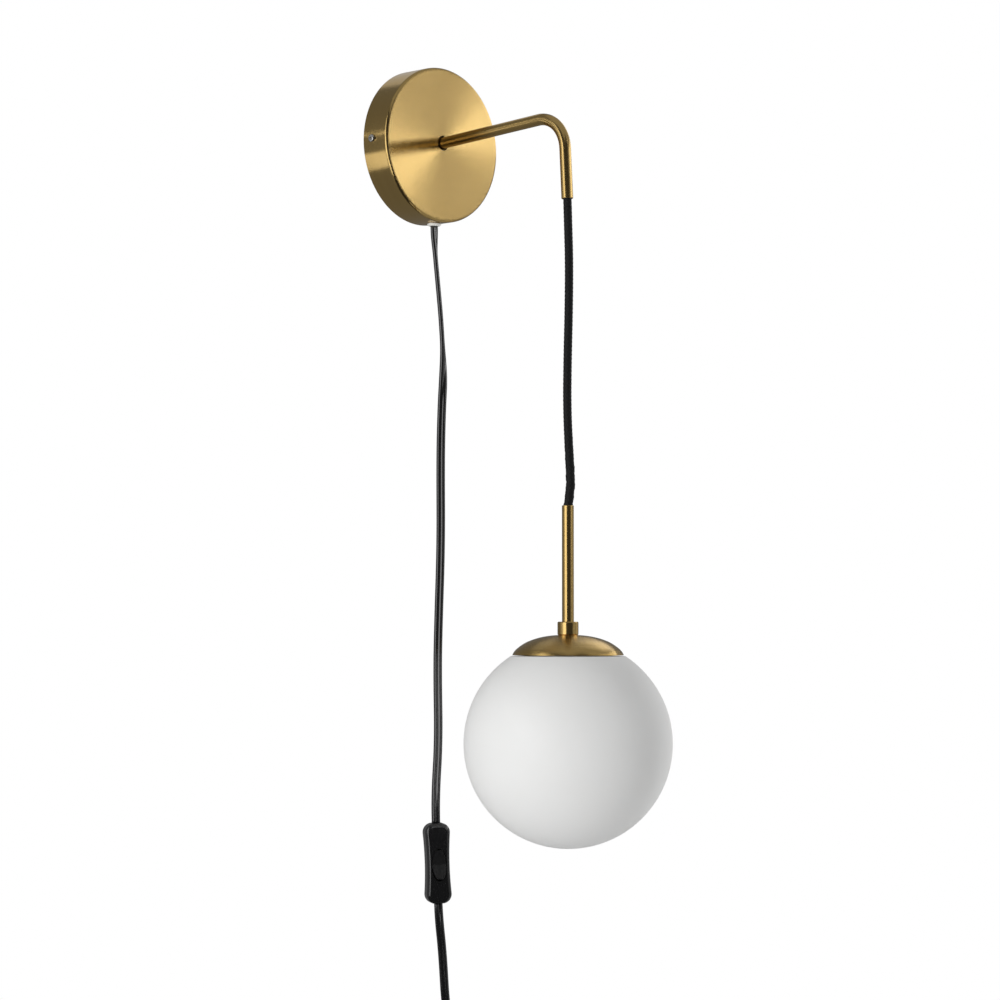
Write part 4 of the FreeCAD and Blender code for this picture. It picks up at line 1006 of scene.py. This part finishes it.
@dataclass
class PowerLead:
    """Flat two-core lead: grommet to switch, then switch to coil and plug.

    Places on its routes are in millimetres across, out from and down along the plane that it hangs in.
    """

    exit: Vector = field(default_factory=lambda: Vector((0.0, -0.0155, -0.06035)))
    lean_deg: float = 0.35
    width: float = 0.0065
    thickness: float = 0.0036
    groove_depth: float = 0.00042
    groove_width: float = 0.0007
    ring_step: float = 0.0014
    steps: int = 36
    map_scale: tuple = (1.0, 100.0)
    upper_length: float = 0.447
    upper_route: tuple = (
        (0.0, 0.0), (0.0, 13.0), (3.8, 41.0), (8.0, 72.0), (10.7, 108.0), (8.7, 138.0), (7.8, 176.0),
        (8.8, 238.0), (6.4, 300.0), (5.8, 335.0), (7.4, 386.0), (4.1, 428.0), (5.0, 446.4))
    switch_length: float = 60.0
    switch_yaw_deg: float = 28.5
    upper_twist: tuple = (
        (0.0, 0.0), (24.0, 45.0), (85.0, 45.0), (132.0, -45.0), (415.0, -45.0), (446.0, -switch_yaw_deg))
    lower_length: float = 1.27
    lower_first_run: float = 10.0
    lower_route: tuple = ((12.7, 544.0), (16.2, 586.0), (24.4, 609.0), (36.8, 621.5))
    lower_twist: tuple = ((0.0, -switch_yaw_deg), (18.0, -45.0), (72.0, -45.0), (104.0, -90.0))
    coil_radius: float = 39.5
    coil_pitch: float = 4.3
    coil_layer_pitch: float = 7.2
    coil_turns_per_layer: float = 2.3125
    coil_climb_turns: float = 0.5
    coil_start_deg: float = 45.0
    coil_lead_in: float = 6.0
    coil_tail: float = 30.0
    points_per_turn: int = 16
    spline_pull: float = 0.25
    rubber: MouldedPlastic = MouldedPlastic((0.012, 0.012, 0.013), (0.008, 0.008, 0.009), 0.42)
    black: MouldedPlastic = MouldedPlastic(
        (0.0065, 0.0065, 0.0070), (0.0045, 0.0045, 0.0050), 0.20, coat=1.0)
    matt_black: MouldedPlastic = MouldedPlastic((0.0045, 0.0045, 0.0050), (0.0035, 0.0035, 0.0040), 0.45)
    nickel: PlatedSteel = PlatedSteel((0.72, 0.70, 0.66), (0.60, 0.58, 0.54), 0.22)

    def world(self, x: float, out: float, down: float) -> Vector:
        """Turn a place on the route into one in the room.

        Args:
            x: millimetres across.
            out: millimetres out from the plane.
            down: millimetres down along it.

        Returns:
            The place in metres.
        """
        lean = math.radians(self.lean_deg)
        y = -out * math.cos(lean) + down * math.sin(lean)
        z = -out * math.sin(lean) - down * math.cos(lean)
        return self.exit + Vector((x, y, z)) / 1000.0

    def after(self, route: tuple, distance: float) -> tuple[float, float]:
        """Go straight on from a route's end.

        Args:
            route: places as (x, down).
            distance: how far to go.

        Returns:
            The place reached.
        """
        (ax, ad), (bx, bd) = route[-2:]
        share = distance / math.hypot(bx - ax, bd - ad)
        return bx + (bx - ax) * share, bd + (bd - ad) * share

    def coil_points(self) -> list[tuple]:
        """Wind the coil: inwards in one layer, over in half a turn, and outwards in the next.

        Returns:
            Its points as (x, out, down), its straight tail last.
        """
        first_x, first_down = self.after(self.lower_route, self.coil_lead_in)
        start = math.radians(self.coil_start_deg)
        centre_x = first_x - math.cos(start) * self.coil_radius
        centre_down = first_down + math.sin(start) * self.coil_radius
        turns = 2 * self.coil_turns_per_layer + self.coil_climb_turns
        # The smooth line runs inside its points, so they stand a little further out.
        step = 2 * math.pi / self.points_per_turn
        grow = 1.0 / (1.0 - self.spline_pull * (1.0 - math.cos(step)))
        count = int(turns * self.points_per_turn)
        points = []
        for i in range(count):
            t = turns * i / count
            radius = (self.coil_radius - self.coil_pitch * min(t, turns - t)) * grow
            climb = min(max((t - self.coil_turns_per_layer) / self.coil_climb_turns, 0.0), 1.0)
            out = self.coil_layer_pitch * climb ** 2 * (3 - 2 * climb)
            angle = start - 2 * math.pi * t
            points.append((centre_x + radius * math.cos(angle), out, centre_down - radius * math.sin(angle)))
        angle = start - 2 * math.pi * turns
        end_x = centre_x + self.coil_radius * math.cos(angle)
        end_down = centre_down - self.coil_radius * math.sin(angle)
        tail_x = end_x + math.sin(angle) * self.coil_tail
        tail_down = end_down + math.cos(angle) * self.coil_tail
        points.append((end_x, self.coil_layer_pitch, end_down))
        points.append((tail_x, self.coil_layer_pitch, tail_down))
        return points

    def outline(self, turn: float, along: float) -> tuple[float, float, float]:
        """Shape the sheath's section: two round cores joined by a web.

        Args:
            turn: how far round, from 0 to 1.
            along: how far along, in metres.

        Returns:
            The point's two places in the section, and its relief.
        """
        angle = 2 * math.pi * turn
        half = (self.width - self.thickness) / 2
        radius = self.thickness / 2
        wide = math.cos(angle) * (half + radius)
        inner = max(abs(wide) - half, 0.0)
        thin = math.sqrt(max(radius ** 2 - inner ** 2, 0.0))
        groove = self.groove_depth * math.exp(-((wide / self.groove_width) ** 2))
        return wide, math.copysign(thin - groove, math.sin(angle)), 0.5

    def bearing(self, twist: tuple) -> Callable[[float, Vector], Vector]:
        """Make the rule for the lead's wide direction.

        Args:
            twist: pairs of a distance along in millimetres and a bearing in degrees.

        Returns:
            A function of the distance in metres and the place, which gives the direction.
        """
        def wide_at(along: float, place: Vector) -> Vector:
            """Turn smoothly from one bearing to the next.

            Args:
                along: metres along the lead.
                place: where that is.

            Returns:
                The wide direction.
            """
            distance = along * 1000.0
            angle = twist[-1][1]
            for (a, bearing_a), (b, bearing_b) in zip(twist, twist[1:]):
                if distance <= b:
                    share = min(max((distance - a) / (b - a), 0.0), 1.0)
                    angle = bearing_a + (bearing_b - bearing_a) * share * share * (3 - 2 * share)
                    break
            return Vector((math.cos(math.radians(angle)), math.sin(math.radians(angle)), 0.0))
        return wide_at

    def stretch(self, name: str, points: list[Vector], twist: tuple,
                vinyl: bpy.types.Material) -> tuple[bpy.types.Object, list[Vector]]:
        """Make one stretch of the lead.

        Args:
            name: the piece's name.
            points: its route in the room.
            twist: its bearings.
            vinyl: its finish.

        Returns:
            The piece and the line that it follows.
        """
        line = evenly(route_line(name + "_line", points), self.ring_step)
        rings = rings_along(line, self.bearing(twist))
        piece = tube(name, rings, self.outline, self.steps, "sheath", self.map_scale)
        piece.data.materials.append(vinyl)
        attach(piece, "root")
        log.info("%s: %d faces", name, len(piece.data.polygons))
        return piece, line

    def build(self) -> None:
        vinyl = SoftVinyl().material("soft_vinyl")
        upper_points = [self.world(x, 0.0, down) for x, down in self.upper_route]
        lead_upper, upper = self.stretch("lead_upper", upper_points, self.upper_twist, vinyl)
        bottom = self.after(self.upper_route, self.switch_length)
        first = self.after(self.upper_route, self.switch_length + self.lower_first_run)
        lower_points = [self.world(x, 0.0, down) for x, down in (bottom, first, *self.lower_route)]
        lower_points += [self.world(x, out, down) for x, out, down in self.coil_points()]
        lead_lower, lower = self.stretch("lead_lower", lower_points, self.lower_twist, vinyl)
        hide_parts("power_cord_upper")
        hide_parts("power_cord_lower", "power_cord_coil")
        dress(self.rubber.material("boot_rubber"), "plug_boot", "coil_tie", "supply_lead")
        dress(self.black.material("black_plastic"), "plug_body", "switch_front", "switch_back")
        dress(self.matt_black.material("rocker_plastic"), "switch_rocker")
        dress(self.nickel.material("nickel_pins"), "plug_pins")


@dataclass
class Canopy:
    """Brass cover on the wall, with the arm's and the wires' fixings that it hides."""

    cover: BrushedBrass = BrushedBrass(Grain.ROUND_WALL_AXIS, roughness=0.16, lean=0.40)
    steel: PlatedSteel = PlatedSteel()
    nickel: PlatedSteel = PlatedSteel((0.72, 0.71, 0.68), (0.58, 0.57, 0.54), 0.25)
    milky: MouldedPlastic = MouldedPlastic((0.78, 0.77, 0.73), (0.72, 0.71, 0.67), 0.40)
    white: MouldedPlastic = MouldedPlastic((0.84, 0.84, 0.82), (0.79, 0.79, 0.77), 0.45)
    brown: MouldedPlastic = MouldedPlastic((0.23, 0.10, 0.04), (0.20, 0.085, 0.034), 0.30)
    blue: MouldedPlastic = MouldedPlastic((0.03, 0.16, 0.46), (0.025, 0.14, 0.42), 0.30)

    def build(self) -> None:
        """Dress the canopy's pieces."""
        dress(self.cover.material("canopy_brass"), "canopy_cover")
        dress(self.steel.material("zinc_plated_steel"), "wall_plate", "arm_bridge", "bridge_rivets",
              "arm_nuts", "arm_washer", "anchor_screws", "nipple_nuts", "holder_nipple", "glass_carrier",
              "switch_screws")
        dress(self.nickel.material("nickel_plated_screws"), "canopy_side_screws")
        dress(self.milky.material("milky_nylon"), "cord_grommet")
        dress(self.white.material("white_nylon"), "cord_anchor", "anchor_bar", "wire_connectors", "cord_stop")
        dress(self.brown.material("brown_core"), "supply_cores", "holder_cores")
        dress(self.blue.material("blue_core"), "lamp_cores")


@dataclass
class ArmTube:
    """Bent brass tube."""

    brass: BrushedBrass = BrushedBrass(Grain.ALONG_ARM, roughness=0.22, lean=0.06)

    def build(self) -> None:
        """Dress the arm."""
        dress(self.brass.material("arm_brass"), "arm_tube")


@dataclass
class GlobeHanger:
    """Rod, collar and dome above the globe, and the lampholder inside it."""

    turned: BrushedBrass = BrushedBrass(Grain.ROUND_PLUMB_LINE, roughness=0.18, lean=0.08)
    spun: BrushedBrass = BrushedBrass(Grain.ROUND_PLUMB_LINE, roughness=0.18, lean=0.28)
    bright: BrushedBrass = BrushedBrass(
        Grain.ROUND_PLUMB_LINE, (0.76, 0.60, 0.34), (0.68, 0.52, 0.28), lacquer=0.0)
    plastic: MouldedPlastic = MouldedPlastic((0.80, 0.80, 0.78), (0.75, 0.75, 0.73), 0.38)
    ceramic: MouldedPlastic = MouldedPlastic((0.83, 0.82, 0.79), (0.76, 0.75, 0.71), 0.60, grain=1500.0)
    aluminium: PlatedSteel = PlatedSteel((0.75, 0.75, 0.76), (0.66, 0.66, 0.67), 0.25)

    def build(self) -> None:
        """Dress the hanging metal and the lampholder."""
        dress(self.turned.material("rod_brass"), "drop_rod", "rod_collar")
        dress(self.spun.material("dome_brass"), "dome_cap")
        dress(self.plastic.material("holder_plastic"), "holder_cap", "holder_body")
        dress(self.ceramic.material("holder_ceramic"), "holder_insert")
        dress(self.bright.material("contact_brass"), "screw_shell", "centre_contact", "switch_contacts")
        dress(self.aluminium.material("lamp_cap_metal"), "lamp_cap")
        dress(LampGlass().material("lamp_glass"), "lamp_bulb")


@dataclass
class Globe:
    """Opal glass globe."""

    glass: OpalGlass = OpalGlass()

    def build(self) -> None:
        """Dress the globe."""
        dress(self.glass.material("opal_glass"), "glass_globe")


def main() -> None:
    """Build the scene."""
    logging.basicConfig(level=logging.INFO, format="%(name)s: %(message)s")
    Studio().build()
    GlobeCord().build()
    PowerLead().build()
    Canopy().build()
    ArmTube().build()
    GlobeHanger().build()
    Globe().build()


if __name__ == "__main__":
    main()
